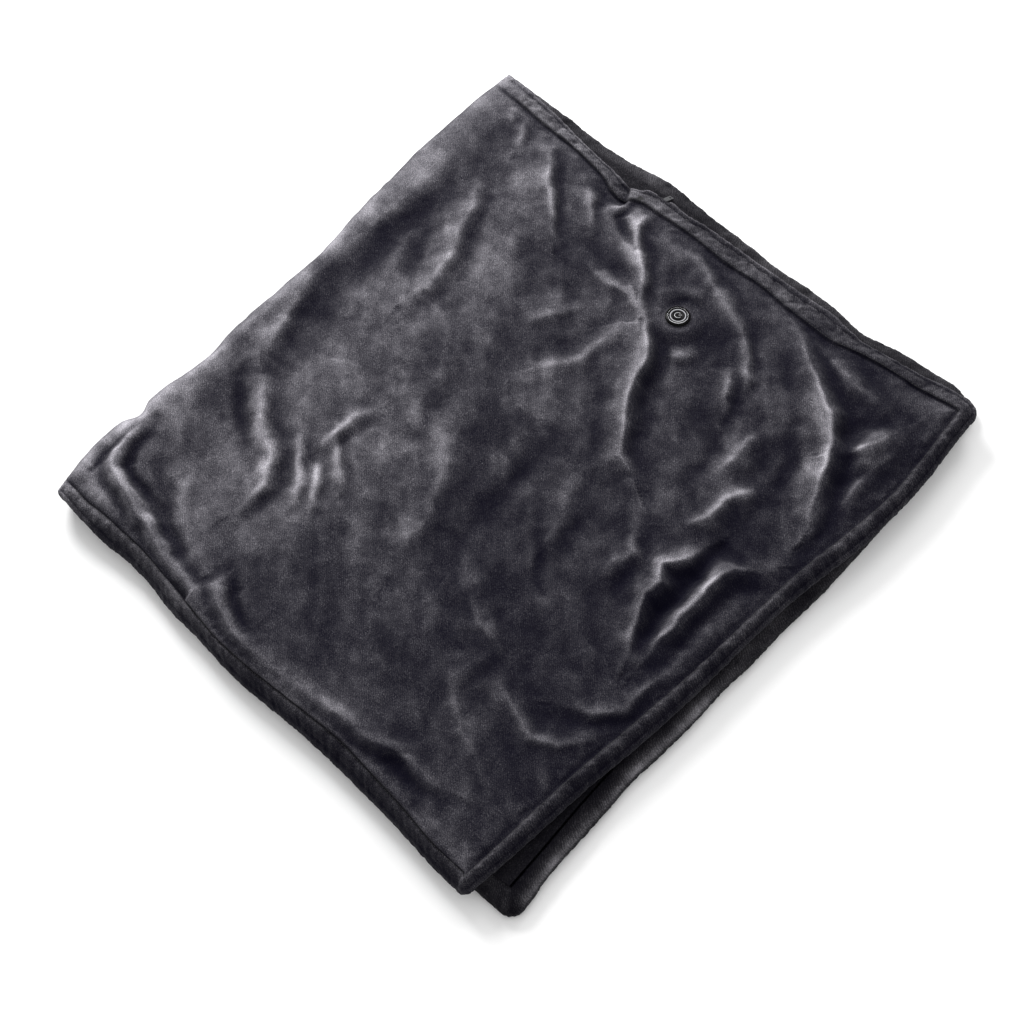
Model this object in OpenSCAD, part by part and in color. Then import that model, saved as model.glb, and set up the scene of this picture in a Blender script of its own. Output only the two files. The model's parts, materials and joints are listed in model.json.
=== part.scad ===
// Heated infrared throw blanket, folded in half, with a battery, a zipped pocket and one push button.
// X runs from the fold to the open edge, Y along the fold, Z up. The underside rests on z = 0.

/* [Blanket] */
// Half of the blanket's width, along the fold
half_width = 400; // [380:5:420]
// Distance of the open edge from the fold line
open_length = 697; // [680:1:715]
// Distance of the upper layer's open edge behind the lower layer's
layer_step = 12; // [4:1:20]
// Corner radius of the hem
corner_r = 26; // [16:1:40]
// Width of the hem
hem_w = 22; // [16:1:26]

/* [Layers] */
// Thickness of the plush outer panel with its pile
outer_t = 6; // [5:0.5:6]
// Thickness of the lining with its pile
lining_t = 4; // [3:0.5:4]
// Thickness of the heater felt
felt_t = 1.9; // [1:0.1:1.9]
// Thickness of the flat heating tape and its leads
tape_t = 1.8; // [1:0.1:1.8]
// Height of the upper layer's pile surface
top_z = 47; // [46:0.5:47]

/* [Heater] */
// Width of the heating tape
tape_w = 8; // [4:1:10]
// Distance between neighbouring runs of the tape
tape_pitch = 50; // [44:1:50]
// Width of a flat lead
lead_w = 6; // [3:1:7]

/* [Controller] */
// Outer diameter of the bezel
bezel_d = 31; // [29:0.5:32]
// Diameter of the push button's cap
button_d = 16.8; // [14:0.1:16.8]
// Travel of the push button
button_travel = 0.8; // [0.4:0.1:0.8]
// Lean of the controller in the soft fabric, in degrees
controller_lean = 9; // [0:0.5:9]

/* [Battery] */
// Battery length along Y
battery_l = 96; // [80:1:100]
// Battery width along X
battery_w = 66; // [60:1:70]
// Battery thickness
battery_t = 9; // [7:0.5:9]

/* [Pocket zip] */
// Length of the zip
zip_l = 310; // [260:5:315]
// Radius of each zip coil
coil_r = 1.2; // [0.8:0.1:1.2]
// Length of the pull
pull_l = 20; // [14:1:22]

/* [Hidden] */
$fn = 48;
gap = 0.1;

// fold line
fold_x = -346;
fold_z = 25;
fold_leg = 17;
panel_x = fold_x + fold_leg;
beyond_x = fold_x - 120;
open_x = fold_x + open_length;
big = 2000;

// the zip's closed end
zip_x = -131;

// layer levels, counted up from the floor in the lower half and down from top_z in the upper half
lining_in = 1;
low_lining_z = fold_z - lining_in - lining_t;
low_felt_z = low_lining_z - gap - felt_t;
low_tape_z = low_felt_z - gap - tape_t;
low_wadding_z = outer_t + gap;
low_wadding_t = low_tape_z - gap - low_wadding_z;
low_hem_t = 20;
up_lining_z = fold_z + lining_in;
up_felt_z = up_lining_z + lining_t + gap;
up_tape_z = up_felt_z + felt_t + gap;
up_wadding_z = up_tape_z + tape_t + 2 * gap;
up_outer_z = top_z - outer_t;
up_wadding_t = up_outer_z - gap - up_wadding_z;
up_hem_z = up_lining_z;
up_hem_t = 18;
fold_lift = 0.5;
fold_roll_r = (top_z - fold_lift) / 2;

// outlines as [x, y, corner radius], counter-clockwise, running on past the fold line
soft_r = 900;
LOWER_OUTLINE = [
    [beyond_x, -half_width + 5, 5],
    [-20, -half_width - 15, soft_r],
    [open_x + 20, -half_width - 12, corner_r],
    [open_x - 2, -half_width * 0.27, soft_r],
    [open_x + 12, half_width * 0.33, soft_r],
    [open_x - 4, half_width + 25, corner_r],
    [half_width * 0.45, half_width + 3, soft_r],
    [beyond_x, half_width - 11, 5]
];
zip_edge_y = half_width - 31;
UPPER_OUTLINE = [
    [beyond_x, -half_width + 5, 5],
    [-20, -half_width - 19, soft_r],
    [open_x - layer_step - 22, -half_width - 22, corner_r],
    [open_x - layer_step + 5, -half_width * 0.17, soft_r],
    [open_x - layer_step + 10, half_width * 0.43, soft_r],
    [open_x - layer_step, half_width + 10, corner_r],
    [zip_x + zip_l + 12, zip_edge_y, 150],
    [zip_x - 15, zip_edge_y, 60],
    [zip_x - 70, half_width - 25, 90],
    [beyond_x, half_width - 23, 5]
];

// heater
runs_x = fold_x + 25;
run_bottom_y = -349;
run_count = 13;
side_top_y = 281;
mid_top_y = 167;
bus_y = 206;
return_y = 327;
series_y = run_bottom_y - gap - lead_w / 2;
last_run_x = runs_x + (run_count - 1) * tape_pitch;
crimp_l = 14;
crimp_w = 6;
cutout_l = 18;
cutout_w = 7;
run_turn_r = tape_pitch / 2;
sensor_pos = [-46, 51];
sensor_r = 2.5;
sensor_lead_w = 2;

// controller, in its own leaning frame with z = 0 on the patch it clamps
controller_pos = [10, 255, 45];
lean_towards = 135;
patch_r = 30;
patch_t = 3;
neck_r = 11.9;
well_r = 9.9;
flange_t = 2.6;
ring_outer_r = 9.7;
ring_inner_r = button_d / 2 + 0.2;
base_r = 19;
base_bottom = -12;
base_top = -5;
base_floor_t = 1.1;
board_bottom = base_bottom + base_floor_t + gap;
board_t = 1.2;
board_top = board_bottom + board_t;
switch_body_h = 3;
plunger_h = 0.7;
stem_bottom = board_top + switch_body_h + plunger_h + gap + button_travel;
screw_circle_r = 15;
screw_r = 1;
screw_head_r = 1.9;
screw_head_h = 1;
controller_hole_r = 36;
post_wall = 0.7;
led_circle_r = 8.5;

// battery and pocket
battery_pos = [194, 271];
pocket_cloth = 0.7;
pocket_z = up_felt_z;
pocket_h = up_outer_z - gap - pocket_z;
pocket_mouth_y = zip_edge_y - 8;
pocket_shelf_y = 295;
shelf_left_x = zip_x - 2;
shelf_right_x = zip_x + zip_l + 2;
bay_left_x = 129;
bay_right_x = 255;
bay_low_y = 219;
bay_high_y = 343;
battery_z = pocket_z + pocket_cloth + 0.2;
case_wall = 1;
case_split = 0.55;
cell_w = 27;
cell_l = 70;
cell_t = 5;
cell_gap = 4;
socket_w = 9;
socket_d = 7.2;
socket_h = 3.2;
socket_wall = 0.4;
socket_z = battery_z + 2.2;
plug_l = 14;
plug_w = 11;
plug_h = 5.8;
tongue_l = 6;
battery_screw_inset = 5.5;
battery_screw_r = 1;
battery_head_r = 1.8;
battery_head_h = 1;
battery_post_r = 2.4;
plug_end_y = battery_pos.y + battery_l / 2 + gap + plug_l;
controller_lead_w = 4;
controller_lead_t = 2.4;
CONTROLLER_LEAD_PATH = [
    [battery_pos.x, plug_end_y + gap], [battery_pos.x, plug_end_y + 3], [battery_pos.x - 6, plug_end_y + 6],
    [172, 340], [99, 341], [59, 313], [35, 281], [26, 270]
];

// zip
zip_z = pocket_z + pocket_h / 2;
zip_y = zip_edge_y - 4.4;
zip_slot_z = pocket_z;
zip_slot_h = pocket_h;
coil_spread = coil_r + 0.8;
stop_l = 1.6;
stop_w = 3;
stop_h = 6.8;
tape_cloth_t = 0.8;
slider_l = 9;
slider_h = 8;
slider_plate_t = 1.3;
slider_rest_x = zip_x + 10;
lug_y = zip_edge_y + 0.9;
lug_r = 1.2;
lug_outer_r = 1.9;
lug_t = 1.4;
bridge_l = 3;
bridge_h = 1;
pull_t = 1.2;
pull_w = 6;
pull_neck_w = 3.8;
pull_neck_l = 4;
pull_drop = 32;

PLUSH = "#3a3841";
PLUSH_DARK = "#2c2b31";
WADDING = "#d9d6cf";
FELT = "#b9b3a6";
CARBON = "#1d1d1f";
LEAD = "#5a5a5e";
SHELL = "#202023";
GLOSS = "#101012";
BOARD = "#1f5a3a";
METAL = "#b8bac0";

// ---- outline helpers ----

function unit(v) = v / norm(v);
function left_of(v) = [-v.y, v.x];
function xy(p) = [p.x, p.y];

// unit normals of the edges before and after point i, both pointing into the outline
function edge_normals(p, i) =
    let (n = len(p), a = xy(p[(i + n - 1) % n]), b = xy(p[i]), c = xy(p[(i + 1) % n]))
    [left_of(unit(b - a)), left_of(unit(c - b))];

// the outline with every edge moved inwards by d
function inset(p, d) = [
    for (i = [0 : len(p) - 1])
        let (e = edge_normals(p, i), m = unit(e[0] + e[1]), q = xy(p[i]) + m * d / (m * e[0]))
        [q.x, q.y, p[i].z]
];

// the points of the arc that rounds corner i
function corner_arc(p, i, steps) =
    let (
        e = edge_normals(p, i),
        m = unit(e[0] + e[1]),
        turn = atan2(e[0].x * e[1].y - e[0].y * e[1].x, e[0] * e[1]),
        side = turn < 0 ? -1 : 1,
        r = p[i].z,
        centre = xy(p[i]) + side * m * r / (m * e[0]),
        start = atan2(-side * e[0].y, -side * e[0].x)
    )
    [for (k = [0 : steps]) centre + r * [cos(start + turn * k / steps), sin(start + turn * k / steps)]];

function rounded(p) = [
    for (i = [0 : len(p) - 1])
        each corner_arc(p, i, p[i].z > 50 ? 3 : 6)
];

// ---- shared shapes ----

// a flat layer inside an outline, starting at from_x beside the fold
module layer(outline, inward, z, t, from_x = panel_x) {
    intersection() {
        translate([0, 0, z])
            linear_extrude(t)
                polygon(rounded(inset(outline, inward)));
        translate([from_x, -big / 2, 0])
            cube([big, big, big]);
    }
}

// a band of the given width along the outline, open at the fold
module hem_band(outline, z, t) {
    difference() {
        layer(outline, 0, z, t);
        layer(outline, hem_w, z - 1, t + 2, panel_x - 1);
    }
}

// a strip that leaves one half, turns round the fold line and comes back to the other half
module fold_shell(z, outer_r, t, from_y, to_y) {
    width = to_y - from_y;
    translate([fold_x, from_y, z]) {
        difference() {
            rotate([-90, 0, 0])
                cylinder(r = outer_r, h = width);
            translate([0, -1, 0])
                rotate([-90, 0, 0])
                    cylinder(r = outer_r - t, h = width + 2);
            translate([0, -1, -big / 2])
                cube([big, width + 2, big]);
        }
        for (side_z = [outer_r - t, -outer_r])
            translate([0, 0, side_z])
                cube([fold_leg - 2 * gap, width, t]);
    }
}

// the line beside a list of points at distance d, on the left where d is positive
function beside(points, d) = [
    for (i = [0 : len(points) - 1])
        let (
            last = len(points) - 1,
            leaving = points[min(i, last - 1) + 1] - points[min(i, last - 1)],
            arriving = i == 0 ? leaving : points[i] - points[i - 1],
            n = left_of(unit(arriving)),
            m = unit(n + left_of(unit(leaving)))
        )
        points[i] + m * d / (m * n)
];

// a flat strip of width w through a list of points
module flat_run(points, w, z, t) {
    right = beside(points, -w / 2);
    translate([0, 0, z])
        linear_extrude(t)
            polygon([each beside(points, w / 2), for (i = [len(points) - 1 : -1 : 0]) right[i]]);
}

// half of a flat ring, joining two runs of the tape
module tape_turn(x, y, up, z) {
    translate([x, y, z])
        intersection() {
            difference() {
                cylinder(r = run_turn_r + tape_w / 2, h = tape_t);
                translate([0, 0, -1])
                    cylinder(r = run_turn_r - tape_w / 2, h = tape_t + 2);
            }
            translate([-big / 2, up ? 0 : -big, -1])
                cube([big, big, big]);
        }
}

function run_x(i) = runs_x + i * tape_pitch;

// the tape laid up and down, from the fold towards the open edge; tops gives each pair's upper end
module serpentine(tops, z) {
    for (i = [0 : run_count - 1])
        translate([run_x(i) - tape_w / 2, run_bottom_y, z])
            cube([tape_w, tops[floor(i / 2)] - run_bottom_y, tape_t]);
    for (i = [0 : run_count - 2])
        tape_turn(run_x(i) + run_turn_r, i % 2 == 0 ? tops[floor(i / 2)] : run_bottom_y, i % 2 == 0, z);
}

// the crimp where the tape's first run meets the lead over the fold
module fold_crimp(z) {
    translate([runs_x - crimp_l / 2, series_y - lead_w / 2, z])
        cube([crimp_l, lead_w, tape_t]);
}

// the crimp between the thermal cut-out of the last run and the lead at lead_y
module end_crimp(top_y, lead_y, z) {
    from_y = top_y + cutout_l + 2 * gap;
    translate([last_run_x - crimp_w / 2, from_y, z])
        cube([crimp_w, lead_y + lead_w / 2 - from_y, tape_t]);
}

// the short lead from the fold crimp to the fold
module series_lead(z) {
    flat_run([[runs_x - crimp_l / 2 - gap, series_y], [panel_x, series_y]], lead_w, z, tape_t);
}

// the room that the pocket and the controller take in the upper half's inner layers
module pocket_room(z, h, margin) {
    translate([shelf_left_x - margin, pocket_shelf_y - margin, z])
        cube([shelf_right_x - shelf_left_x + 2 * margin, pocket_mouth_y + 40 - pocket_shelf_y, h]);
    translate([bay_left_x - margin, bay_low_y - margin, z])
        cube([bay_right_x - bay_left_x + 2 * margin, bay_high_y - bay_low_y + 2 * margin, h]);
}

module inner_cutouts(z, h) {
    pocket_room(z, h, 0.3);
    flat_run(CONTROLLER_LEAD_PATH, controller_lead_w + 1, z, h);
    translate([controller_pos.x, controller_pos.y, z])
        cylinder(r = controller_hole_r, h = h);
}

// places its children in the controller's leaning frame
module at_controller() {
    translate(controller_pos)
        rotate([0, 0, lean_towards])
            rotate([0, controller_lean, 0])
                children();
}

module ring(outer_r, inner_r, z, h) {
    translate([0, 0, z])
        difference() {
            cylinder(r = outer_r, h = h);
            translate([0, 0, -1])
                cylinder(r = inner_r, h = h + 2);
        }
}

module on_screw_circle() {
    for (a = [60 : 120 : 300])
        rotate([0, 0, a])
            translate([screw_circle_r, 0, 0])
                children();
}

// ---- lower half ----

module lower_outer_panel() {
    color(PLUSH)
        layer(LOWER_OUTLINE, hem_w + gap, 0, outer_t);
}

module lower_wadding() {
    color(WADDING)
        layer(LOWER_OUTLINE, hem_w + gap, low_wadding_z, low_wadding_t);
}

module lower_heater_felt() {
    color(FELT)
        layer(LOWER_OUTLINE, hem_w + gap, low_felt_z, felt_t);
}

module lower_heating_tape() {
    tops = [for (i = [0 : run_count]) side_top_y];
    color(CARBON)
        serpentine(tops, low_tape_z);
}

module lower_lining() {
    color(PLUSH_DARK)
        layer(LOWER_OUTLINE, hem_w + gap, low_lining_z, lining_t);
}

module lower_hem() {
    color(PLUSH)
        hem_band(LOWER_OUTLINE, 0, low_hem_t);
}

module lower_thermal_cutout() {
    color(SHELL)
        translate([last_run_x - cutout_w / 2, side_top_y + gap, low_tape_z])
            cube([cutout_w, cutout_l, tape_t]);
}

// crimps where the tape meets the fold lead and the return lead
module lower_splices() {
    color(METAL) {
        fold_crimp(low_tape_z);
        end_crimp(side_top_y, return_y, low_tape_z);
    }
}

module lower_return_lead() {
    color(LEAD) {
        flat_run([[last_run_x - crimp_w / 2 - gap, return_y], [panel_x, return_y]],
            lead_w, low_tape_z, tape_t);
        series_lead(low_tape_z);
    }
}

// ---- fold ----

module fold_outer_strip() {
    color(PLUSH)
        fold_shell(fold_lift + fold_roll_r, fold_roll_r, outer_t, -half_width + 4, half_width - 22);
}

module fold_wadding_strip() {
    color(WADDING)
        fold_shell(fold_z, 16, 6, -half_width + 28, half_width - 46);
}

module fold_lining_strip() {
    color(PLUSH_DARK)
        fold_shell(fold_z, lining_in + lining_t, lining_t, -half_width + 28, half_width - 46);
}

module fold_leads() {
    color(LEAD)
        for (y = [series_y, return_y])
            fold_shell(fold_z, fold_z - low_tape_z, tape_t, y - lead_w / 2, y + lead_w / 2);
}

// ---- upper half ----

module upper_outer_panel() {
    color(PLUSH)
        difference() {
            layer(UPPER_OUTLINE, hem_w + gap, up_outer_z, outer_t);
            at_controller()
                cylinder(r = patch_r + gap, h = 60, center = true);
        }
}

module upper_wadding() {
    color(WADDING)
        difference() {
            layer(UPPER_OUTLINE, hem_w + gap, up_wadding_z, up_wadding_t);
            inner_cutouts(up_wadding_z - 1, up_wadding_t + 2);
        }
}

module upper_heater_felt() {
    color(FELT)
        difference() {
            layer(UPPER_OUTLINE, hem_w + gap, up_felt_z, felt_t);
            inner_cutouts(up_felt_z - 1, felt_t + 2);
        }
}

module upper_heating_tape() {
    tops = [for (i = [0 : run_count]) i < 2 ? side_top_y : mid_top_y];
    color(CARBON)
        serpentine(tops, up_tape_z);
}

module upper_lining() {
    color(PLUSH_DARK)
        layer(UPPER_OUTLINE, hem_w + gap, up_lining_z, lining_t);
}

module upper_hem() {
    color(PLUSH)
        difference() {
            hem_band(UPPER_OUTLINE, up_hem_z, up_hem_t);
            translate([shelf_left_x - gap, zip_edge_y - hem_w - 5, zip_slot_z - gap])
                cube([shelf_right_x - shelf_left_x + 2 * gap, hem_w + 20, zip_slot_h + 2 * gap]);
        }
}

module upper_thermal_cutout() {
    color(SHELL)
        translate([last_run_x - cutout_w / 2, mid_top_y + gap, up_tape_z])
            cube([cutout_w, cutout_l, tape_t]);
}

// crimps where the tape meets the fold lead and the heater lead
module upper_splices() {
    color(METAL) {
        fold_crimp(up_tape_z);
        end_crimp(mid_top_y, bus_y, up_tape_z);
    }
}

// the lead that comes over the fold and round the pocket to the controller
module upper_return_lead() {
    color(LEAD) {
        flat_run([[panel_x, return_y], [-143, return_y], [-143, 276], [-24, 276], [-7, 271]],
            lead_w, up_tape_z, tape_t);
        series_lead(up_tape_z);
    }
}

module heater_lead() {
    color(LEAD)
        flat_run([[last_run_x - crimp_w / 2 - gap, bus_y], [17, bus_y], [9, 232]],
            lead_w, up_tape_z, tape_t);
}

// a bead in the middle of the heated field, with its thin lead
module temperature_sensor() {
    color(METAL)
        translate([sensor_pos.x, sensor_pos.y, up_tape_z])
            cylinder(r = sensor_r, h = tape_t);
    color(LEAD)
        flat_run([sensor_pos, [sensor_pos.x, 223], [-9, 245]], sensor_lead_w, up_tape_z, tape_t);
}

// ---- controller ----

module controller_patch() {
    color(PLUSH_DARK)
        at_controller()
            ring(patch_r, neck_r + gap, -patch_t, patch_t);
}

// a flange over the patch and a neck that goes through it
module controller_bezel() {
    color(GLOSS)
        at_controller()
            rotate_extrude($fn = 72)
                polygon([[well_r, -8], [neck_r, -8], [neck_r, gap], [bezel_d / 2 - 0.4, gap],
                    [bezel_d / 2, 0.5], [bezel_d / 2 - 0.7, flange_t - 0.7],
                    [bezel_d / 2 - 2.2, flange_t], [well_r + 0.8, flange_t], [well_r, flange_t - 0.6]]);
}

module controller_clamp_ring() {
    color(SHELL)
        at_controller()
            difference() {
                ring(base_r - 1.5, neck_r + gap, base_top + gap, -patch_t - base_top - 2 * gap);
                on_screw_circle()
                    translate([0, 0, base_top])
                        cylinder(r = screw_r + 0.02, h = 1.5);
            }
}

// a round cup with three screw posts and an outlet for the leads
module controller_base() {
    color(SHELL)
        at_controller()
            difference() {
                union() {
                    difference() {
                        translate([0, 0, base_bottom])
                            cylinder(r = base_r, h = base_top - base_bottom);
                        translate([0, 0, base_bottom + base_floor_t])
                            cylinder(r = base_r - 1.2, h = base_top - base_bottom);
                    }
                    on_screw_circle()
                        translate([0, 0, base_bottom + 0.5])
                            cylinder(r = screw_head_r + post_wall, h = base_top - base_bottom - 0.5);
                }
                on_screw_circle()
                    translate([0, 0, base_bottom - 1]) {
                        cylinder(r = screw_r + 0.05, h = 20);
                        cylinder(r = screw_head_r + 0.05, h = screw_head_h + 1.1);
                    }
            }
}

module controller_board() {
    color(BOARD)
        at_controller()
            difference() {
                translate([0, 0, board_bottom])
                    cylinder(r = base_r - 1.6, h = board_t);
                on_screw_circle()
                    translate([0, 0, board_bottom - 1])
                        cylinder(r = screw_head_r + post_wall + 0.2, h = board_t + 2);
            }
}

module tact_switch() {
    color(METAL)
        at_controller() {
            translate([-3, -3, board_top])
                cube([6, 6, switch_body_h]);
            translate([0, 0, board_top + switch_body_h])
                cylinder(r = 1.7, h = plunger_h);
        }
}

module status_leds() {
    color("#f4f1e4")
        at_controller()
            for (a = [0 : 60 : 300])
                rotate([0, 0, a])
                    translate([led_circle_r, -0.8, board_top])
                        cube([1, 1.6, 0.6]);
}

// a clear tube that carries the LEDs' light up round the button
module light_ring() {
    color("#dfe3e6")
        at_controller()
            ring(ring_outer_r, ring_inner_r, board_top + 0.8, flange_t - 0.2 - board_top - 0.8);
}

module controller_screws() {
    color(METAL)
        at_controller()
            on_screw_circle() {
                translate([0, 0, base_bottom])
                    cylinder(r = screw_head_r, h = screw_head_h);
                translate([0, 0, base_bottom + screw_head_h])
                    cylinder(r = screw_r, h = base_top - base_bottom - screw_head_h + 1.3);
            }
}

module controller_lead() {
    color(LEAD)
        flat_run(CONTROLLER_LEAD_PATH, controller_lead_w, zip_z - controller_lead_t / 2,
            controller_lead_t);
}

module power_button() {
    r = button_d / 2;
    color(GLOSS)
        at_controller() {
            rotate_extrude($fn = 72)
                polygon([[0, -1.4], [r, -1.4], [r, flange_t - 0.7], [r - 0.5, flange_t - 0.2],
                    [r - 2, flange_t + 0.1], [r * 0.5, flange_t + 0.3], [0, flange_t + 0.35]]);
            translate([0, 0, stem_bottom])
                cylinder(r = 1.8, h = -1.4 - stem_bottom);
        }
}

// ---- battery and pocket ----

// an L-shaped bag: a shelf behind the zip and a bay that holds the battery
module pocket_outline(z, h, m) {
    translate([shelf_left_x + m, pocket_shelf_y + m, z])
        cube([shelf_right_x - shelf_left_x - 2 * m, pocket_mouth_y - pocket_shelf_y - m, h]);
    translate([bay_left_x + m, bay_low_y + m, z])
        cube([bay_right_x - bay_left_x - 2 * m, bay_high_y - bay_low_y - 2 * m, h]);
}

// the bag, open behind the zip, with buttonholes where the controller's lead passes
module battery_pocket() {
    color(PLUSH_DARK)
        difference() {
            pocket_outline(pocket_z, pocket_h, 0);
            pocket_outline(pocket_z + pocket_cloth, pocket_h - 2 * pocket_cloth, pocket_cloth);
            translate([zip_x, pocket_mouth_y - 1, pocket_z + pocket_cloth])
                cube([zip_l, 2, pocket_h - 2 * pocket_cloth]);
            flat_run(CONTROLLER_LEAD_PATH, controller_lead_w + 0.6,
                zip_z - controller_lead_t / 2 - 0.3, controller_lead_t + 0.6);
        }
}

// a flat box with rounded upright corners, centred on the battery
module battery_block(w, l, z, h, r) {
    x = w / 2 - r;
    y = l / 2 - r;
    translate([battery_pos.x, battery_pos.y, z]) {
        translate([-x, -y - r, 0])
            cube([2 * x, 2 * (y + r), h]);
        translate([-x - r, -y, 0])
            cube([2 * (x + r), 2 * y, h]);
        for (i = [-1, 1], j = [-1, 1])
            translate([i * x, j * y, 0])
                cylinder(r = r, h = h);
    }
}

module on_battery_corners() {
    for (i = [-1, 1], j = [-1, 1])
        translate([battery_pos.x + i * (battery_w / 2 - battery_screw_inset),
            battery_pos.y + j * (battery_l / 2 - battery_screw_inset), battery_z])
            children();
}

module socket_opening(extra) {
    translate([battery_pos.x - socket_w / 2 - extra, battery_pos.y + battery_l / 2 - socket_d - extra,
        socket_z - extra])
        cube([socket_w + 2 * extra, socket_d + 5, socket_h + 2 * extra]);
}

module battery_case_base() {
    color(SHELL)
        difference() {
            union() {
                difference() {
                    battery_block(battery_w, battery_l, battery_z, battery_t * case_split, 6);
                    battery_block(battery_w - 2 * case_wall, battery_l - 2 * case_wall,
                        battery_z + case_wall, battery_t, 5);
                }
                on_battery_corners()
                    translate([0, 0, case_wall / 2])
                        cylinder(r = battery_post_r, h = battery_t * case_split - case_wall / 2);
            }
            on_battery_corners()
                translate([0, 0, -1]) {
                    cylinder(r = battery_screw_r + 0.05, h = battery_t + 2);
                    cylinder(r = battery_head_r + 0.05, h = battery_head_h + 1 + gap);
                }
            socket_opening(0.15);
        }
}

module battery_case_lid() {
    color(SHELL)
        difference() {
            union() {
                difference() {
                    battery_block(battery_w, battery_l, battery_z + battery_t * case_split + gap / 2,
                        battery_t * (1 - case_split) - gap / 2, 6);
                    battery_block(battery_w - 2 * case_wall, battery_l - 2 * case_wall,
                        battery_z, battery_t - case_wall, 5);
                }
                on_battery_corners()
                    translate([0, 0, battery_t * case_split + gap / 2])
                        cylinder(r = battery_post_r, h = battery_t * (1 - case_split) - case_wall / 2);
            }
            on_battery_corners()
                cylinder(r = battery_screw_r + 0.02, h = battery_t - 1.5);
            socket_opening(0.15);
        }
}

module battery_cells() {
    color("#c3c7cc")
        for (side = [-1, 1])
            translate([battery_pos.x + side * (cell_w + cell_gap) / 2 - cell_w / 2,
                battery_pos.y - battery_l / 2 + 9, battery_z + case_wall + 1.1])
                cube([cell_w, cell_l, cell_t]);
}

module battery_board() {
    color(BOARD)
        translate([battery_pos.x - battery_w / 2 + 10, battery_pos.y + battery_l / 2 - 14,
            battery_z + case_wall + 0.1])
            cube([battery_w - 20, 12.5, 1]);
}

module battery_socket() {
    color(METAL)
        difference() {
            translate([battery_pos.x - socket_w / 2, battery_pos.y + battery_l / 2 - socket_d, socket_z])
                cube([socket_w, socket_d, socket_h]);
            translate([battery_pos.x - socket_w / 2 + socket_wall,
                battery_pos.y + battery_l / 2 - socket_d + socket_wall, socket_z + socket_wall])
                cube([socket_w - 2 * socket_wall, socket_d, socket_h - 2 * socket_wall]);
        }
}

module battery_plug() {
    color(SHELL)
        translate([battery_pos.x - plug_w / 2, plug_end_y - plug_l, socket_z + socket_h / 2 - plug_h / 2])
            cube([plug_w, plug_l, plug_h]);
    tongue_in = socket_wall + 0.15;
    color(METAL)
        translate([battery_pos.x - socket_w / 2 + tongue_in, plug_end_y - plug_l - tongue_l,
            socket_z + tongue_in])
            cube([socket_w - 2 * tongue_in, tongue_l, socket_h - 2 * tongue_in]);
}

module battery_screws() {
    color(METAL)
        on_battery_corners() {
            cylinder(r = battery_head_r, h = battery_head_h);
            translate([0, 0, battery_head_h])
                cylinder(r = battery_screw_r, h = battery_t - battery_head_h - 2);
        }
}

// ---- zip ----

module zip_tape(side) {
    z = side > 0 ? zip_z + coil_spread : zip_slot_z;
    h = zip_slot_h / 2 - coil_spread;
    translate([zip_x, zip_y - tape_cloth_t / 2, z])
        cube([zip_l, tape_cloth_t, h]);
}

// a round coil that runs along the edge of its tape, cut clear of the tape
module zip_coil(side) {
    difference() {
        translate([zip_x, zip_y, zip_z + side * coil_spread])
            rotate([0, 90, 0])
                cylinder(r = coil_r, h = zip_l);
        zip_tape(side);
    }
}

module zip_tape_upper() {
    color(PLUSH_DARK)
        zip_tape(1);
}

module zip_tape_lower() {
    color(PLUSH_DARK)
        zip_tape(-1);
}

module zip_coil_upper() {
    color(SHELL)
        zip_coil(1);
}

module zip_coil_lower() {
    color(SHELL)
        zip_coil(-1);
}

module zip_end_stops() {
    color(METAL)
        for (x = [zip_x - stop_l, zip_x + zip_l])
            translate([x, zip_y - stop_w / 2, zip_z - stop_h / 2])
                cube([stop_l, stop_w, stop_h]);
}

// two plates joined by a thin bridge that runs between the coils, and a lug for the pull
module zip_slider() {
    front_y = zip_y + coil_r + 0.4;
    back_y = zip_y - coil_r - 0.4 - slider_plate_t;
    color(METAL)
        translate([slider_rest_x, 0, zip_z]) {
            translate([0, front_y, -slider_h / 2])
                cube([slider_l, slider_plate_t, slider_h]);
            translate([0, back_y, -slider_h / 2])
                cube([slider_l, slider_plate_t, slider_h]);
            translate([slider_l - bridge_l, back_y, -bridge_h / 2])
                cube([bridge_l, front_y + slider_plate_t - back_y, bridge_h]);
            for (x = [1, slider_l - 1 - lug_t])
                translate([x, front_y + slider_plate_t / 2, 0])
                    difference() {
                        translate([0, 0, -lug_outer_r])
                            cube([lug_t, lug_y + lug_outer_r - front_y - slider_plate_t / 2,
                                2 * lug_outer_r]);
                        translate([-1, lug_y - front_y - slider_plate_t / 2, 0])
                            rotate([0, 90, 0])
                                cylinder(r = lug_r, h = lug_t + 2);
                    }
        }
}

// a pin in the slider's lugs and a flat tab that rests on the lower half's edge
module zip_pull() {
    color(METAL)
        translate([slider_rest_x, lug_y, zip_z]) {
            translate([0.6, 0, 0])
                rotate([0, 90, 0])
                    cylinder(r = lug_r - 0.05, h = slider_l - 1.2);
            rotate([-pull_drop, 0, 0])
                difference() {
                    translate([slider_l / 2, 0, -pull_t / 2]) {
                        translate([-pull_neck_w / 2, 0, 0])
                            cube([pull_neck_w, pull_neck_l + 1, pull_t]);
                        translate([-pull_w / 2, pull_neck_l, 0])
                            cube([pull_w, pull_l - pull_neck_l, pull_t]);
                    }
                    translate([slider_l / 2, pull_l - 4, -pull_t])
                        cylinder(r = 1.3, h = 2 * pull_t);
                }
        }
}

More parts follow.
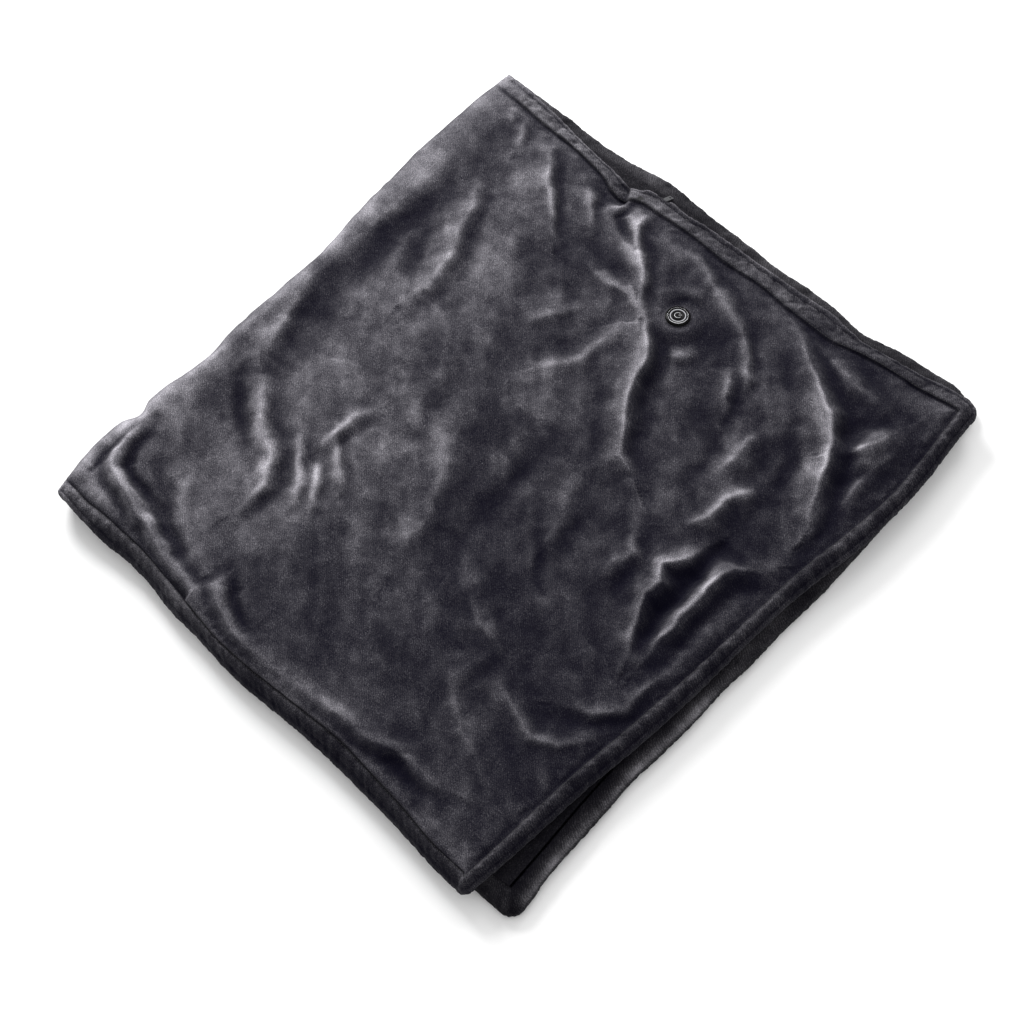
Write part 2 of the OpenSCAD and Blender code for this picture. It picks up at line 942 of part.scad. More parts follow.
lower_outer_panel();
lower_wadding();
lower_heater_felt();
lower_heating_tape();
lower_lining();
lower_hem();
lower_thermal_cutout();
lower_splices();
lower_return_lead();
fold_outer_strip();
fold_wadding_strip();
fold_lining_strip();
fold_leads();
upper_outer_panel();
upper_wadding();
upper_heater_felt();
upper_heating_tape();
upper_lining();
upper_hem();
upper_thermal_cutout();
upper_splices();
upper_return_lead();
heater_lead();
temperature_sensor();
controller_patch();
controller_bezel();
controller_clamp_ring();
controller_base();
controller_board();
tact_switch();
status_leds();
light_ring();
controller_screws();
controller_lead();
battery_pocket();
battery_case_base();
battery_case_lid();
battery_cells();
battery_board();
battery_socket();
battery_plug();
battery_screws();
zip_tape_upper();
zip_tape_lower();
zip_coil_upper();
zip_coil_lower();
zip_end_stops();
power_button();
zip_slider();
zip_pull();
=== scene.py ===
import bpy
import json
import math
import numpy as np
from mathutils import Matrix, Vector

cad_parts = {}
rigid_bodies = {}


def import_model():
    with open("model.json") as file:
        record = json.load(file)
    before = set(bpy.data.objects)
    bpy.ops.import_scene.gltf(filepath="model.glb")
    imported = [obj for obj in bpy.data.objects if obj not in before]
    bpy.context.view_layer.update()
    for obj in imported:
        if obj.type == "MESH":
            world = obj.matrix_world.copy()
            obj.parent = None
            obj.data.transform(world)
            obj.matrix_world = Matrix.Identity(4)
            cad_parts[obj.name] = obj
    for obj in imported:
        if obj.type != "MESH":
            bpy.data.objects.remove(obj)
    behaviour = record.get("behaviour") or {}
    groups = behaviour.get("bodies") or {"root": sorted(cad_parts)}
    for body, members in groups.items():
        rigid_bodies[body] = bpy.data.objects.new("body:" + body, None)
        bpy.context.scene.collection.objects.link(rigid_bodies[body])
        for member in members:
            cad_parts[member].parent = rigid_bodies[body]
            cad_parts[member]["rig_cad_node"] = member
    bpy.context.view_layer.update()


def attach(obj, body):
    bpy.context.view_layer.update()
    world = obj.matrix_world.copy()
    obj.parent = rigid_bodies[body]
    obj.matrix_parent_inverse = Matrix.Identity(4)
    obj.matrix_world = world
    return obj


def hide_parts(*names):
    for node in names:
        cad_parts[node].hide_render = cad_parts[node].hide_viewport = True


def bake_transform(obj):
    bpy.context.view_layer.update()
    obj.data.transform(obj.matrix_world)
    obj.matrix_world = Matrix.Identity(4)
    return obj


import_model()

MM = 0.001

# ---------------------------------------------------------------- places and sizes, in millimetres

# where the upper half turns about the lower one
HINGE_X = -346.0
MID_Z = 25.0

# the controller's seat in the plush, the hole for it and how it leans
CONTROLLER = (10.0, 255.0, 45.0)
HOLE_RADIUS = 12.8
LEAN = math.radians(9)
LEAN_TOWARDS = math.radians(135)

# the battery as centre and half size, as the plush shows it and as it lies in its pocket
BATTERY_SWELL = ((194, 274), (22, 36))
BATTERY_ROOM = ((194, 271), (33, 48))

# the pocket's shelf behind the zip and its bay for the battery, as x and y from and to
SHELF = (-133, 181, 295, 361)
BAY = (129, 255, 219, 343)
POCKET_MID_Z = 35.5
POCKET_HALF_DEPTH = 5.2

# the zip in the edge of the hem
ZIP_FROM_X = -137
ZIP_TO_X = 190
ZIP_BACK_Y = 359.8
ZIP_LOWER_LIP_Y = 371.0
SLIDER_FROM_X = -133
SLIDER_TO_X = -100
SLIDER_FRONT_Y = 367.6

UPPER_LINING_Z = 26.0
LOWER_LINING_Z = 23.6
LINING_TURN_ENDS = (-380, 352)

STITCH_SPACING = 4.2
STITCH_LENGTH = 3.1
TACK_FROM_X = -138.0
TACK_ENDS_Y = (345.5, 352.0)

# ---------------------------------------------------------------- outlines, in millimetres

# the fold's outermost line, as (y, x)
FOLD_LINE = [(-404, -358), (-385, -362), (-361, -368), (-346, -371), (-323, -373), (-298, -370),
             (-274, -361), (-256, -369), (-228, -369), (-190, -362), (-120, -367), (-44, -369), (34, -371),
             (110, -380), (160, -386), (235, -390), (310, -391), (377, -389)]

# upper half: seam of each hem and the hem's edge; bottom and top as (x, y), right as (y, x)
UP_BOTTOM = [(-346, -389), (-315, -391), (-293, -389), (-262, -389), (-233, -389), (-201, -392),
             (-166, -397), (-127, -402), (-88, -407), (-45, -407), (-11, -405), (26, -402), (63, -399),
             (100, -397), (145, -400), (205, -405), (256, -411), (305, -411)]
UP_BOTTOM_EDGE = [(-346, -408), (-315, -410), (-273, -410), (-229, -407), (-192, -410), (-153, -416),
                  (-114, -417), (-69, -421), (-35, -422), (2, -420), (58, -417), (141, -418), (221, -422),
                  (282, -427), (312, -427)]
UP_TOP = [(-346, 351), (-300, 348), (-246, 348), (-207, 344), (-189, 341), (-170, 335), (-150, 335),
          (-140, 341), (-102, 347), (-56, 351), (3, 350), (52, 355), (88, 353), (129, 353), (161, 354),
          (192, 363), (231, 371), (277, 377), (320, 386)]
UP_TOP_EDGE = [(-346, 377), (-300, 374), (-266, 369), (-221, 363), (-193, 362), (-171, 360), (-150, 358),
               (-140, 362), (-126, 368), (-102, 372), (-75, 371), (-57, 374), (-9, 377), (53, 380),
               (103, 383), (143, 386), (182, 384), (227, 390), (267, 397), (315, 409), (345, 411)]
UP_RIGHT = [(-414, 305), (-360, 307), (-316, 308), (-237, 312), (-149, 319), (-59, 325), (23, 327),
            (102, 330), (175, 338), (212, 341), (250, 344), (291, 341), (330, 337), (386, 330)]
UP_RIGHT_EDGE = [(-424, 320), (-371, 325), (-319, 328), (-245, 332), (-173, 339), (-79, 344), (5, 345),
                 (90, 349), (140, 355), (186, 361), (221, 362), (260, 362), (318, 358), (350, 353),
                 (380, 351), (411, 347)]

# lower half, in the same way
LO_BOTTOM = [(-346, -384), (-200, -387), (0, -392), (180, -396), (300, -392), (345, -386)]
LO_BOTTOM_EDGE = [(-346, -396), (-200, -402), (0, -408), (180, -412), (300, -411), (350, -410)]
LO_TOP = [(-346, 366), (-273, 368), (-211, 375), (-160, 380), (-103, 385), (-33, 384), (49, 385),
          (125, 388), (191, 387), (256, 396), (320, 400)]
LO_TOP_EDGE = [(-346, 389), (-320, 390), (-287, 393), (-247, 393), (-220, 394), (-195, 397), (-172, 401),
               (-150, 406), (-123, 409), (-92, 407), (-64, 406), (-38, 407), (3, 407), (40, 406),
               (74, 409), (125, 411), (178, 407), (222, 418), (268, 424), (314, 426), (335, 417)]
LO_RIGHT = [(-386, 347), (-340, 344), (-256, 338), (-183, 335), (-100, 336), (-18, 337), (58, 340),
            (123, 341), (261, 333), (340, 327), (400, 320)]
LO_RIGHT_EDGE = [(-414, 358), (-405, 366), (-387, 370), (-353, 365), (-304, 362), (-253, 360), (-208, 357),
                 (-157, 359), (-102, 360), (-55, 358), (-13, 360), (47, 359), (113, 361), (180, 359),
                 (249, 356), (312, 352), (377, 347), (412, 338)]


def through(points, x):
    """A smooth line through the points, read at x."""
    p = np.array(points, float)
    xs = p[:, 0]
    ys = p[:, 1]
    slope = np.gradient(ys, xs)
    i = np.clip(np.searchsorted(xs, x) - 1, 0, len(xs) - 2)
    h = xs[i + 1] - xs[i]
    t = np.clip((x - xs[i]) / h, -0.2, 1.2)
    a = (1 + 2 * t) * (1 - t) ** 2 * ys[i] + t * t * (3 - 2 * t) * ys[i + 1]
    b = t * (1 - t) ** 2 * slope[i] * h + t * t * (t - 1) * slope[i + 1] * h
    return a + b


def smooth(low, high, x):
    """0 at low and beyond it, 1 at high and beyond it, with a soft step between them."""
    t = np.clip((x - low) / (high - low), 0, 1)
    return t * t * (3 - 2 * t)


def bell(distance, width):
    """1 where distance is 0, fading on both sides."""
    return np.exp(-(distance / width) ** 2)


def taper(place, margin, power):
    """Fades a line out towards both its ends."""
    return np.sin(np.pi * np.clip(margin + (1 - 2 * margin) * place, 0, 1)) ** power


# ---------------------------------------------------------------- noise

def lattice(seed):
    """The random heights that one noise is made from."""
    return np.random.RandomState(seed).rand(256, 256) * 2 - 1


def wave(x, y, size, seed):
    """Soft noise from -1 to 1 with features about as long as size."""
    table = lattice(seed)
    u = x / size + 31.7 * (seed % 7)
    v = y / size + 17.3 * (seed % 5)
    i = np.floor(u).astype(int)
    j = np.floor(v).astype(int)
    fu = u - i
    fv = v - j
    fu = fu ** 3 * (fu * (fu * 6 - 15) + 10)
    fv = fv ** 3 * (fv * (fv * 6 - 15) + 10)
    a = table[i % 256, j % 256]
    b = table[(i + 1) % 256, j % 256]
    c = table[i % 256, (j + 1) % 256]
    d = table[(i + 1) % 256, (j + 1) % 256]
    return (a * (1 - fu) + b * fu) * (1 - fv) + (c * (1 - fu) + d * fu) * fv


def layers(x, y, size, seed, steps=3):
    """Soft noise in steps, each half as large and half as strong, and each turned."""
    total = np.zeros_like(x)
    share = 1.0
    for k in range(steps):
        c = math.cos(0.9 * k + 0.4)
        s = math.sin(0.9 * k + 0.4)
        total += share * wave(c * x - s * y, s * x + c * y, size / 2 ** k, seed + 11 * k)
        share *= 0.5
    return total


# ---------------------------------------------------------------- relief of the upper half

# (points, height, width of the steep left side, width of the long right side, strength of the painted
# highlight on the crest)
RIDGES = [
    ([(-112, 345), (-105, 315), (-75, 280), (-45, 250), (-30, 230)], 8, 6, 20, 0.8),
    ([(-30, 232), (-15, 225), (5, 200), (30, 160), (60, 105), (90, 70), (120, 55)], 12, 9, 34, 1.1),
    ([(85, 285), (100, 270), (125, 245), (132, 225)], 5, 5, 16, 0.7),
    ([(100, 245), (120, 218), (140, 190)], 5, 5, 16, 0.8),
    ([(-70, 325), (-20, 330), (25, 315), (75, 290), (110, 262)], 6, 7, 18, 0.6),
    ([(185, 205), (185, 160), (180, 120)], 5, 10, 10, 0.8),
    ([(120, 340), (180, 305), (235, 275), (262, 232), (285, 185), (300, 145)], 13, 10, 30, 1.15),
    ([(262, 245), (290, 280), (300, 320)], 8, 9, 12, 1.1),
    ([(312, 310), (312, 240), (312, 165)], 5, 9, 12, 0.4),
    ([(225, 145), (215, 110), (220, 80), (200, 55)], 7, 12, 9, 0.9),
    ([(240, 45), (235, 30), (215, 0), (230, -20), (225, -45), (250, -90), (262, -112)], 12, 9, 16, 1.2),
    ([(310, 78), (305, 70), (280, 50), (270, 15), (270, -30), (275, -70), (280, -115)], 12, 9, 15, 1.2),
    ([(312, -90), (305, -130), (305, -160), (275, -190), (245, -205)], 6, 6, 12, 0.8),
    ([(-355, 11), (-331, -40), (-318, -94), (-294, -137)], 7, 26, 16, 0.4),
    ([(-294, -137), (-243, -180), (-201, -217), (-187, -240), (-185, -290)], 7, 8, 16, 0.4),
    ([(-205, -165), (-195, -180), (-155, -210), (-145, -230)], 5, 6, 9, 0.35),
    ([(-165, -175), (-150, -190), (-125, -215)], 5, 5, 8, 0.35),
    ([(-175, -130), (-160, -145), (-120, -180)], 4, 5, 8, 0.35),
    ([(-160, -85), (-168, -110), (-175, -160)], 4, 6, 10, 0.35),
    ([(-122, -395), (-152, -390), (-183, -384), (-220, -376), (-251, -368), (-285, -358), (-308, -352),
      (-330, -342), (-336, -330), (-333, -314), (-341, -295), (-350, -280), (-366, -266)], 10, 6, 13, 0.5),
    ([(-27, -395), (-52, -396), (-74, -393), (-93, -388), (-116, -380), (-133, -370), (-133, -356)],
     8, 6, 12, 0.75),
    ([(227, -358), (188, -366), (145, -374), (97, -379), (72, -385), (37, -389), (7, -392)], 7, 6, 14, 0.4),
    ([(-270, 345), (-260, 320), (-230, 280), (-190, 250), (-165, 228)], 7, 6, 22, 0.7),
    ([(-200, 322), (-175, 300), (-148, 276)], 5, 5, 14, 0.6),
    ([(-318, 345), (-303, 322), (-295, 300)], 4, 5, 14, 0.6),
    ([(-336, 340), (-322, 318)], 3, 5, 10, 0.6),
    ([(-294, 232), (-272, 183), (-250, 134), (-238, 78), (-240, 47)], 5, 9, 18, 0.6),
    ([(-125, 240), (-80, 230), (-45, 235), (-15, 230)], 4, 9, 5, 0.5),
    ([(-125, 120), (-100, 155), (-75, 190)], 4, 14, 9, 0.8),
    ([(-65, 90), (-35, 130), (-35, 175), (-30, 200)], 4, 9, 14, 0.8),
    ([(50, -150), (115, -190), (160, -200)], 4, 14, 8, 0.5),
    ([(190, -230), (250, -255), (275, -240), (310, -200)], 5, 12, 8, 1.2),
    ([(130, -250), (190, -300), (260, -330)], 3, 14, 8, 0.5),
    ([(-60, -60), (-20, -140), (-10, -230)], 3, 12, 26, 0.4),
    ([(20, 300), (0, 285), (-15, 262)], 4, 5, 9, 0.6),
    ([(60, 240), (50, 224), (36, 212)], 3, 6, 9, 0.3),
    ([(150, 340), (205, 335), (262, 322)], 5, 8, 12, 0.6),
    ([(150, 25), (180, -10), (175, -60)], 4, 8, 14, 0.6),
    ([(-180, 60), (-140, 10), (-120, -60)], 3, 10, 26, 0.5),
    ([(60, 20), (95, -40), (100, -110)], 3, 9, 20, 0.5),
    ([(-360, -330), (-350, -358)], 5, 5, 6, 0.7),
    ([(-151, 310), (-141, 322), (-134, 333)], 5, 5, 7, 1.2),
]
# (points, depth, width)
VALLEYS = [
    ([(15, 35), (25, -100), (35, -190)], 4, 16),
    ([(75, -55), (135, -120)], 4, 9),
    ([(-140, 350), (-135, 330), (-135, 310), (-105, 300), (-85, 290)], 6, 6),
    ([(258, 60), (252, 10), (252, -40), (264, -100)], 7, 9),
    ([(150, 200), (160, 150), (165, 90)], 3, 9),
    ([(-290, -300), (-240, -345), (-190, -360)], 4, 9),
    ([(20, 215), (45, 170), (75, 130)], 4, 10),
    ([(-324, 200), (-322, 120), (-328, 60), (-317, 0), (-303, -62), (-286, -122)], 14, 24),
    ([(-290, 150), (-280, 110), (-262, 80)], 4, 13),
    ([(-312, -160), (-274, -190), (-240, -213)], 6, 11),
    ([(-340, -268), (-322, -307), (-312, -332), (-270, -343), (-230, -353), (-194, -363), (-157, -376)],
     8, 9),
    ([(-341, -365), (-346, -341), (-343, -322)], 7, 5),
    ([(-118, -350), (-103, -366), (-66, -378)], 6, 9),
    ([(-188, 337), (-175, 326), (-165, 312)], 7, 9),
    ([(200, 235), (235, 200), (250, 150)], 4, 14),
    ([(290, 200), (305, 235), (318, 262)], 4, 10),
    ([(295, 60), (252, 60), (245, 15)], 5, 9),
    ([(300, 215), (318, 160), (322, 100)], 4, 9),
]


def along(px, py, points):
    """Distance to a line of points, how far along it, and the side as a sign."""
    best = np.full(px.shape, 1e9)
    place = np.zeros(px.shape)
    side = np.ones(px.shape)
    p = np.array(points, float)
    steps = np.linalg.norm(np.diff(p, axis=0), axis=1)
    total = steps.sum()
    done = 0.0
    for k in range(len(p) - 1):
        a = p[k]
        d = p[k + 1] - a
        t = np.clip(((px - a[0]) * d[0] + (py - a[1]) * d[1]) / (d @ d), 0, 1)
        ex = px - a[0] - t * d[0]
        ey = py - a[1] - t * d[1]
        dist = np.hypot(ex, ey)
        near = dist < best
        best = np.where(near, dist, best)
        place = np.where(near, (done + t * steps[k]) / total, place)
        side = np.where(near, np.sign(d[0] * ey - d[1] * ex), side)
        done += steps[k]
    return best, place, side


def fold_shape(px, py, points, height, steep, long):
    """A fold whose crest is thin; its left side falls away fast and its right side slowly."""
    dist, place, side = along(px, py, points)
    width = np.where(side > 0, steep, long)
    d = np.sqrt(dist ** 2 + 9.0) - 3.0
    crest = np.exp(-(d / width) ** 1.25)
    hollow = 0.40 * bell(dist - 2.4 * steep, 1.2 * steep) * (side > 0)
    return height * (crest - hollow) * taper(place, 0.04, 0.7)


def wrinkles(px, py, seed, count):
    """Short random folds that lie mostly across the blanket."""
    rng = np.random.RandomState(seed)
    total = np.zeros_like(px)
    for _ in range(count):
        x = rng.uniform(-330, 310)
        y = rng.uniform(-370, 350)
        turn = rng.normal(-0.85, 0.5)
        bend = rng.normal(0, 0.6)
        length = rng.uniform(25, 80)
        points = []
        for k in range(4):
            points.append((x, y))
            x += math.cos(turn) * length / 3
            y += math.sin(turn) * length / 3
            turn += bend / 3
        busy = 0.5 + 0.5 * smooth(-120, 220, points[1][0])
        height = rng.uniform(0.5, 2.2) * busy
        total += fold_shape(px, py, points, height, rng.uniform(5, 9), rng.uniform(10, 24))
    return total


def painted_crest_light_and_shade(px, py):
    """Painted highlights along the main folds' crests and their long sides, and painted shade beside their
    steep sides and along the valleys.
    """
    total = np.zeros_like(px)
    for points, height, steep, long, shine in RIDGES:
        dist, place, side = along(px, py, points)
        strength = (height / 9.0) ** 1.1 * taper(place, 0.03, 0.8)
        # painted highlight on the crest and its long side, painted shade beside the steep side
        line = 0.85 * bell(dist, 3.1) + 0.42 * bell(dist, 0.5 * long) * (side <= 0)
        dark = 0.8 * bell(dist - 1.3 * steep, 0.9 * steep) + 0.45 * bell(dist - 3.6, 1.8)
        total += strength * (shine * line - dark * (side > 0))
    # painted shade along the valleys
    for points, depth, width in VALLEYS:
        dist, place, _ = along(px, py, points)
        total -= 0.14 * depth * bell(dist, width) * taper(place, 0.05, 0.6)
    return np.clip(total, -1.8, 1.5)


def warp(x, y):
    """Makes drawn lines waver a little, as folds do."""
    wx = x + 5 * wave(x, y, 46, 3) + 2 * wave(x, y, 17, 4)
    wy = y + 5 * wave(x, y, 46, 5) + 2 * wave(x, y, 17, 6)
    return wx, wy


def beyond(x, y, box):
    """Distance from a rectangle given as centre and half size; 0 inside it."""
    (cx, cy), (half_x, half_y) = box
    return np.hypot(np.maximum(abs(x - cx) - half_x, 0), np.maximum(abs(y - cy) - half_y, 0))


HIGHEST_RELIEF = 13


def relief(x, y):
    """How far the plush stands above its mean height."""
    wx, wy = warp(x, y)
    total = np.zeros_like(x)
    for points, height, steep, long, _ in RIDGES:
        total += fold_shape(wx, wy, points, height, steep, long)
    for points, depth, width in VALLEYS:
        dist, place, _ = along(wx, wy, points)
        total -= depth * bell(dist, width) * np.sin(np.pi * np.clip(place, 0.06, 0.94)) ** 0.5
    total += wrinkles(wx, wy, 21, 60)
    sx = 0.75 * x + 0.66 * y
    sy = 0.42 * (0.75 * y - 0.66 * x)
    total += 2.6 * wave(sx, sy, 95, 7) + 1.7 * layers(sx, sy, 44, 8) + 0.35 * layers(x, y, 17, 9, 2) - 3.0
    total += 3.2 * bell(beyond(x, y, BATTERY_SWELL), 18)
    return HIGHEST_RELIEF * np.tanh(total / HIGHEST_RELIEF)


def from_controller(x, y):
    """Distance from the controller's middle, in plan."""
    return np.hypot(x - CONTROLLER[0], y - CONTROLLER[1])


def lie_on_controller(x, y, z):
    """The plush lies flat on the leaning controller and puckers round it."""
    dx = x - CONTROLLER[0]
    dy = y - CONTROLLER[1]
    r = from_controller(x, y)
    slope = math.tan(LEAN)
    plane = CONTROLLER[2] - slope * (dx * math.cos(LEAN_TOWARDS) + dy * math.sin(LEAN_TOWARDS))
    angle = np.arctan2(dy, dx)
    pucker = 0.25 * np.sin(9 * angle + 2 * np.sin(2 * angle)) * smooth(15, 21, r) * smooth(46, 24, r)
    hold = smooth(40, 17, r)
    dish = -0.9 * smooth(24, 17, r) * smooth(13.5, 17, r)
    return z * (1 - hold) + (plane + 0.6 * smooth(16, 26, r) + dish) * hold + pucker


# ---------------------------------------------------------------- the two halves with their hems

# rows of cells across a hem band, and the row at its outermost edge
ROWS = 22
EDGE_ROW = 13
# share of the hem's width, side of the band (1 outer, -1 inner) and extra height, row by row
BAND_SHARE = np.array([0, 0.05, 0.11, 0.2, 0.31, 0.42, 0.52, 0.61, 0.69, 0.75, 0.84, 0.92,
                       0.975, 1.0, 1.0, 0.975, 0.92, 0.84, 0.7, 0.54, 0.36, 0.18, 0])
BAND_SIDE = np.array([1.0] * 10 + [0.97, 0.82, 0.55, 0.2, -0.2, -0.55, -0.85] + [-1.0] * 6)
BAND_RISE = np.array([-2.2, -1.0, 0.3, 1.0, 1.3, 1.3, 1.0, 0.5, -0.2, -0.9, -0.1, 0.2] + [0.0] * 11)


def line_normal(points, x, over_y, upward):
    """Unit normals of a line given as y over x, or as x over y where over_y is true."""
    slope = (through(points, x + 2.0) - through(points, x - 2.0)) / 4.0
    size = np.sqrt(1 + slope ** 2)
    if over_y:
        return np.stack([1 / size, -slope / size], -1)
    sign = 1 if upward else -1
    return np.stack([-slope / size * sign, sign / size], -1)


class Half:
    """Plan of one half: an inner patch with a hem round three sides."""

    def __init__(self, bottom, bottom_edge, top, top_edge, right, right_edge, nu, nv):
        self.nu = nu
        self.nv = nv
        y0 = right[0][0]
        y1 = right[-1][0]
        u = np.linspace(0, 1, nu + 1)
        v = np.linspace(0, 1, nv + 1)
        x_low = HINGE_X + (right[0][1] - HINGE_X) * u
        x_high = HINGE_X + (right[-1][1] - HINGE_X) * u
        low = np.stack([x_low, through(bottom, x_low)], -1)
        high = np.stack([x_high, through(top, x_high)], -1)
        ry = y0 + (y1 - y0) * v
        far = np.stack([through(right, ry), ry], -1)
        low[-1] = far[0]
        high[-1] = far[-1]
        near = np.stack([np.full(nv + 1, HINGE_X), low[0, 1] + (high[0, 1] - low[0, 1]) * v], -1)
        # a patch stretched between its four sides
        a = u[:, None, None]
        b = v[None, :, None]
        self.inner = ((1 - b) * low[:, None] + b * high[:, None] + (1 - a) * near[None]
                      + a * far[None] - (1 - a) * (1 - b) * low[0] - a * (1 - b) * low[-1]
                      - (1 - a) * b * high[0] - a * b * high[-1])
        self.n_low = line_normal(bottom, x_low, False, False)
        self.n_high = line_normal(top, x_high, False, True)
        self.n_far = line_normal(right, ry, True, True)
        self.w_low = self.width(low, bottom_edge, False)
        self.w_high = self.width(high, top_edge, False)
        self.w_far = self.width(far, right_edge, True)

    def width(self, seam, edge, over_y):
        """The hem's width in plan at every point of its seam."""
        if over_y:
            return through(edge, seam[:, 1]) - seam[:, 0]
        return abs(through(edge, seam[:, 0]) - seam[:, 1])

    def sides(self):
        """For every grid place: seam point, outward direction, hem width, row of the band, and whether the
        band belongs to the open edge (turn 0) or to a side edge (turn 1), the low one where is_low."""
        k = ROWS
        na = self.nu + 1 + k
        nb = self.nv + 1 + 2 * k
        ia, ib = np.indices((na, nb))
        iu = np.clip(ia, 0, self.nu)
        iv = np.clip(ib - k, 0, self.nv)
        ka = np.maximum(ia - self.nu, 0)
        k_low = np.maximum(k - ib, 0)
        k_high = np.maximum(ib - k - self.nv, 0)
        kb = k_low + k_high
        row = np.maximum(ka, kb)
        # round a corner the direction turns from one edge's normal to the other's
        bigger = np.maximum(row, 1)
        smaller = np.minimum(ka, kb)
        turn = np.where(ka >= kb, smaller / (2 * bigger), 1 - smaller / (2 * bigger))
        turn = np.where(row == 0, 0, turn)
        turn = np.where(kb == 0, 0.0, np.where(ka == 0, 1.0, turn))
        is_low = k_low > 0
        n_side = np.where(is_low[..., None], self.n_low[iu], self.n_high[iu])
        w_side = np.where(is_low, self.w_low[iu], self.w_high[iu])
        n_far = self.n_far[iv]
        w_far = self.w_far[iv]
        angle_a = np.arctan2(n_far[..., 1], n_far[..., 0])
        angle_b = np.arctan2(n_side[..., 1], n_side[..., 0])
        angle = angle_a + (angle_b - angle_a) * turn
        way = np.stack([np.cos(angle), np.sin(angle)], -1)
        width = w_far + (w_side - w_far) * turn
        # the corners are a little fuller
        corner = (ka > 0) & (kb > 0)
        width = width + np.where(corner, 0.12 * width * np.sin(np.pi * turn), 0)
        return {
            "seam": self.inner[iu, iv], "way": way, "width": width, "row": row, "turn": turn,
            "is_low": is_low,
        }


def hem_heights(band, outer, inner):
    """Height at the seam and drop to the edge, of the band's outer and then of its inner surface; outer and
    inner give such a pair for the open edge, the low side and the high side."""
    values = []
    for at_far, at_low, at_high in (outer, inner):
        for k in range(2):
            at_side = np.where(band["is_low"], at_low[k], at_high[k])
            values.append(at_far[k] + (at_side - at_far[k]) * band["turn"])
    return values


def seam_distance(x, y):
    """Distance from the nearest seam of the upper half."""
    low = y - through(UP_BOTTOM, x)
    high = through(UP_TOP, x) - y
    far = through(UP_RIGHT, y) - x
    return np.minimum(np.minimum(low, high), far)


def gathers(x, y, seed):
    """Small ripples that run across the hem."""
    return wave(x + y, x - y, 15, seed) + 0.6 * wave(x + 1.3 * y, x - y, 8, seed + 1)


# size of a cell
SPACE = 2.3
NU = int(665 / SPACE)
NV = int(770 / SPACE)

upper = Half(UP_BOTTOM, UP_BOTTOM_EDGE, UP_TOP, UP_TOP_EDGE, UP_RIGHT, UP_RIGHT_EDGE, NU, NV)
lower = Half(LO_BOTTOM, LO_BOTTOM_EDGE, LO_TOP, LO_TOP_EDGE, LO_RIGHT, LO_RIGHT_EDGE, NU, NV)

# the zip's channel, row by row: share of the hem's width (None at the zip's back) and height
ZIP_CHANNEL = {10: (0.9, 43.6), 11: (1.0, 42.8), 12: (1.0, 41.6), 13: (None, 41.1), 14: (None, 29.9),
               15: (1.0, 29.4), 16: (0.97, 27.2)}
ZIP_LIP_ROW = 15

# how far from the fold the hems stay level
LEVEL_REACH = 90


def plan(band):
    """Seam points, shares of the hem's width, and places in plan."""
    x0 = band["seam"][..., 0]
    y0 = band["seam"][..., 1]
    r = BAND_SHARE[band["row"]]
    px = x0 + band["way"][..., 0] * r * band["width"]
    py = y0 + band["way"][..., 1] * r * band["width"]
    return x0, y0, r, px, py


def open_zip_channel(band, py, z):
    """Sets the zip's channel into the edge and leaves room for the slider where it rests."""
    row = band["row"]
    x0 = band["seam"][..., 0]
    y0 = band["seam"][..., 1]
    ends = smooth(ZIP_FROM_X, ZIP_FROM_X + 5, x0) * smooth(ZIP_TO_X, ZIP_TO_X - 6, x0)
    zip_on = ends * (~band["is_low"]) * (band["turn"] > 0.99)
    for k, (part, height) in ZIP_CHANNEL.items():
        share = zip_on * (row == k)
        edge = ZIP_BACK_Y if part is None else y0 + band["way"][..., 1] * part * band["width"]
        py = py * (1 - share) + edge * share
        z = z * (1 - share) + height * share
    # the lip below the zip stays behind the pull
    py = py - np.maximum(py - ZIP_LOWER_LIP_Y, 0) * zip_on * (row >= ZIP_LIP_ROW)
    ends = smooth(SLIDER_FROM_X, SLIDER_FROM_X + 7, x0) * smooth(SLIDER_TO_X, SLIDER_TO_X - 7, x0)
    at_slider = ends * (row > 0) * (~band["is_low"])
    return py - np.maximum(py - SLIDER_FRONT_Y, 0) * at_slider, z


def build_upper():
    """Points of the upper half's plush and hem."""
    band = upper.sides()
    row = band["row"]
    x0, y0, r, px, py = plan(band)
    out0, out1, in0, in1 = hem_heights(band, ((41, 7), (38, 17), (41.5, 3)), ((26, 2), (26, 14), (26, 0)))
    # the bands don't droop beside the fold
    ease = smooth(HINGE_X, HINGE_X + LEVEL_REACH, x0)
    out1 = 3 + (out1 - 3) * ease
    in1 = in1 * ease
    # the hem lies over the pocket's mouth
    over_pocket = smooth(-152, -138, x0) * smooth(275, 258, x0) * (~band["is_low"])
    out0 = out0 + 2.5 * over_pocket
    # the tuck: the band dips under its own fold
    out0 = out0 - 7 * smooth(-205, -152, x0) * (x0 < -146) * (~band["is_low"])
    drop = r ** 1.4
    z_out = out0 - out1 * drop
    z_in = in0 - in1 * drop
    side = BAND_SIDE[row]
    z = (z_out + z_in) / 2 + (z_out - z_in) / 2 * side + BAND_RISE[row]
    z += gathers(px, py, 31) * 0.8 * np.clip(side, 0, 1) * (row > 0)
    py, z = open_zip_channel(band, py, z)
    # the panel rises from its seams like a cushion
    d = np.maximum(seam_distance(x0, y0), 0)
    rise = 1 - np.exp(-(d / (7 + 4 * smooth(-380, -330, y0))) ** 1.1)
    near_fold = 0.75 + 0.25 * smooth(HINGE_X, HINGE_X + 40, x0)
    top = 47 + relief(x0, y0) * near_fold
    seam_z = out0 + BAND_RISE[0]
    ripple = 1.1 * gathers(x0, y0, 31) * np.exp(-d / 13) * smooth(0, 5, d)
    plush = lie_on_controller(x0, y0, seam_z + (top - seam_z) * rise + ripple)
    return np.stack([px, py, np.where(row == 0, plush, z)], -1), band


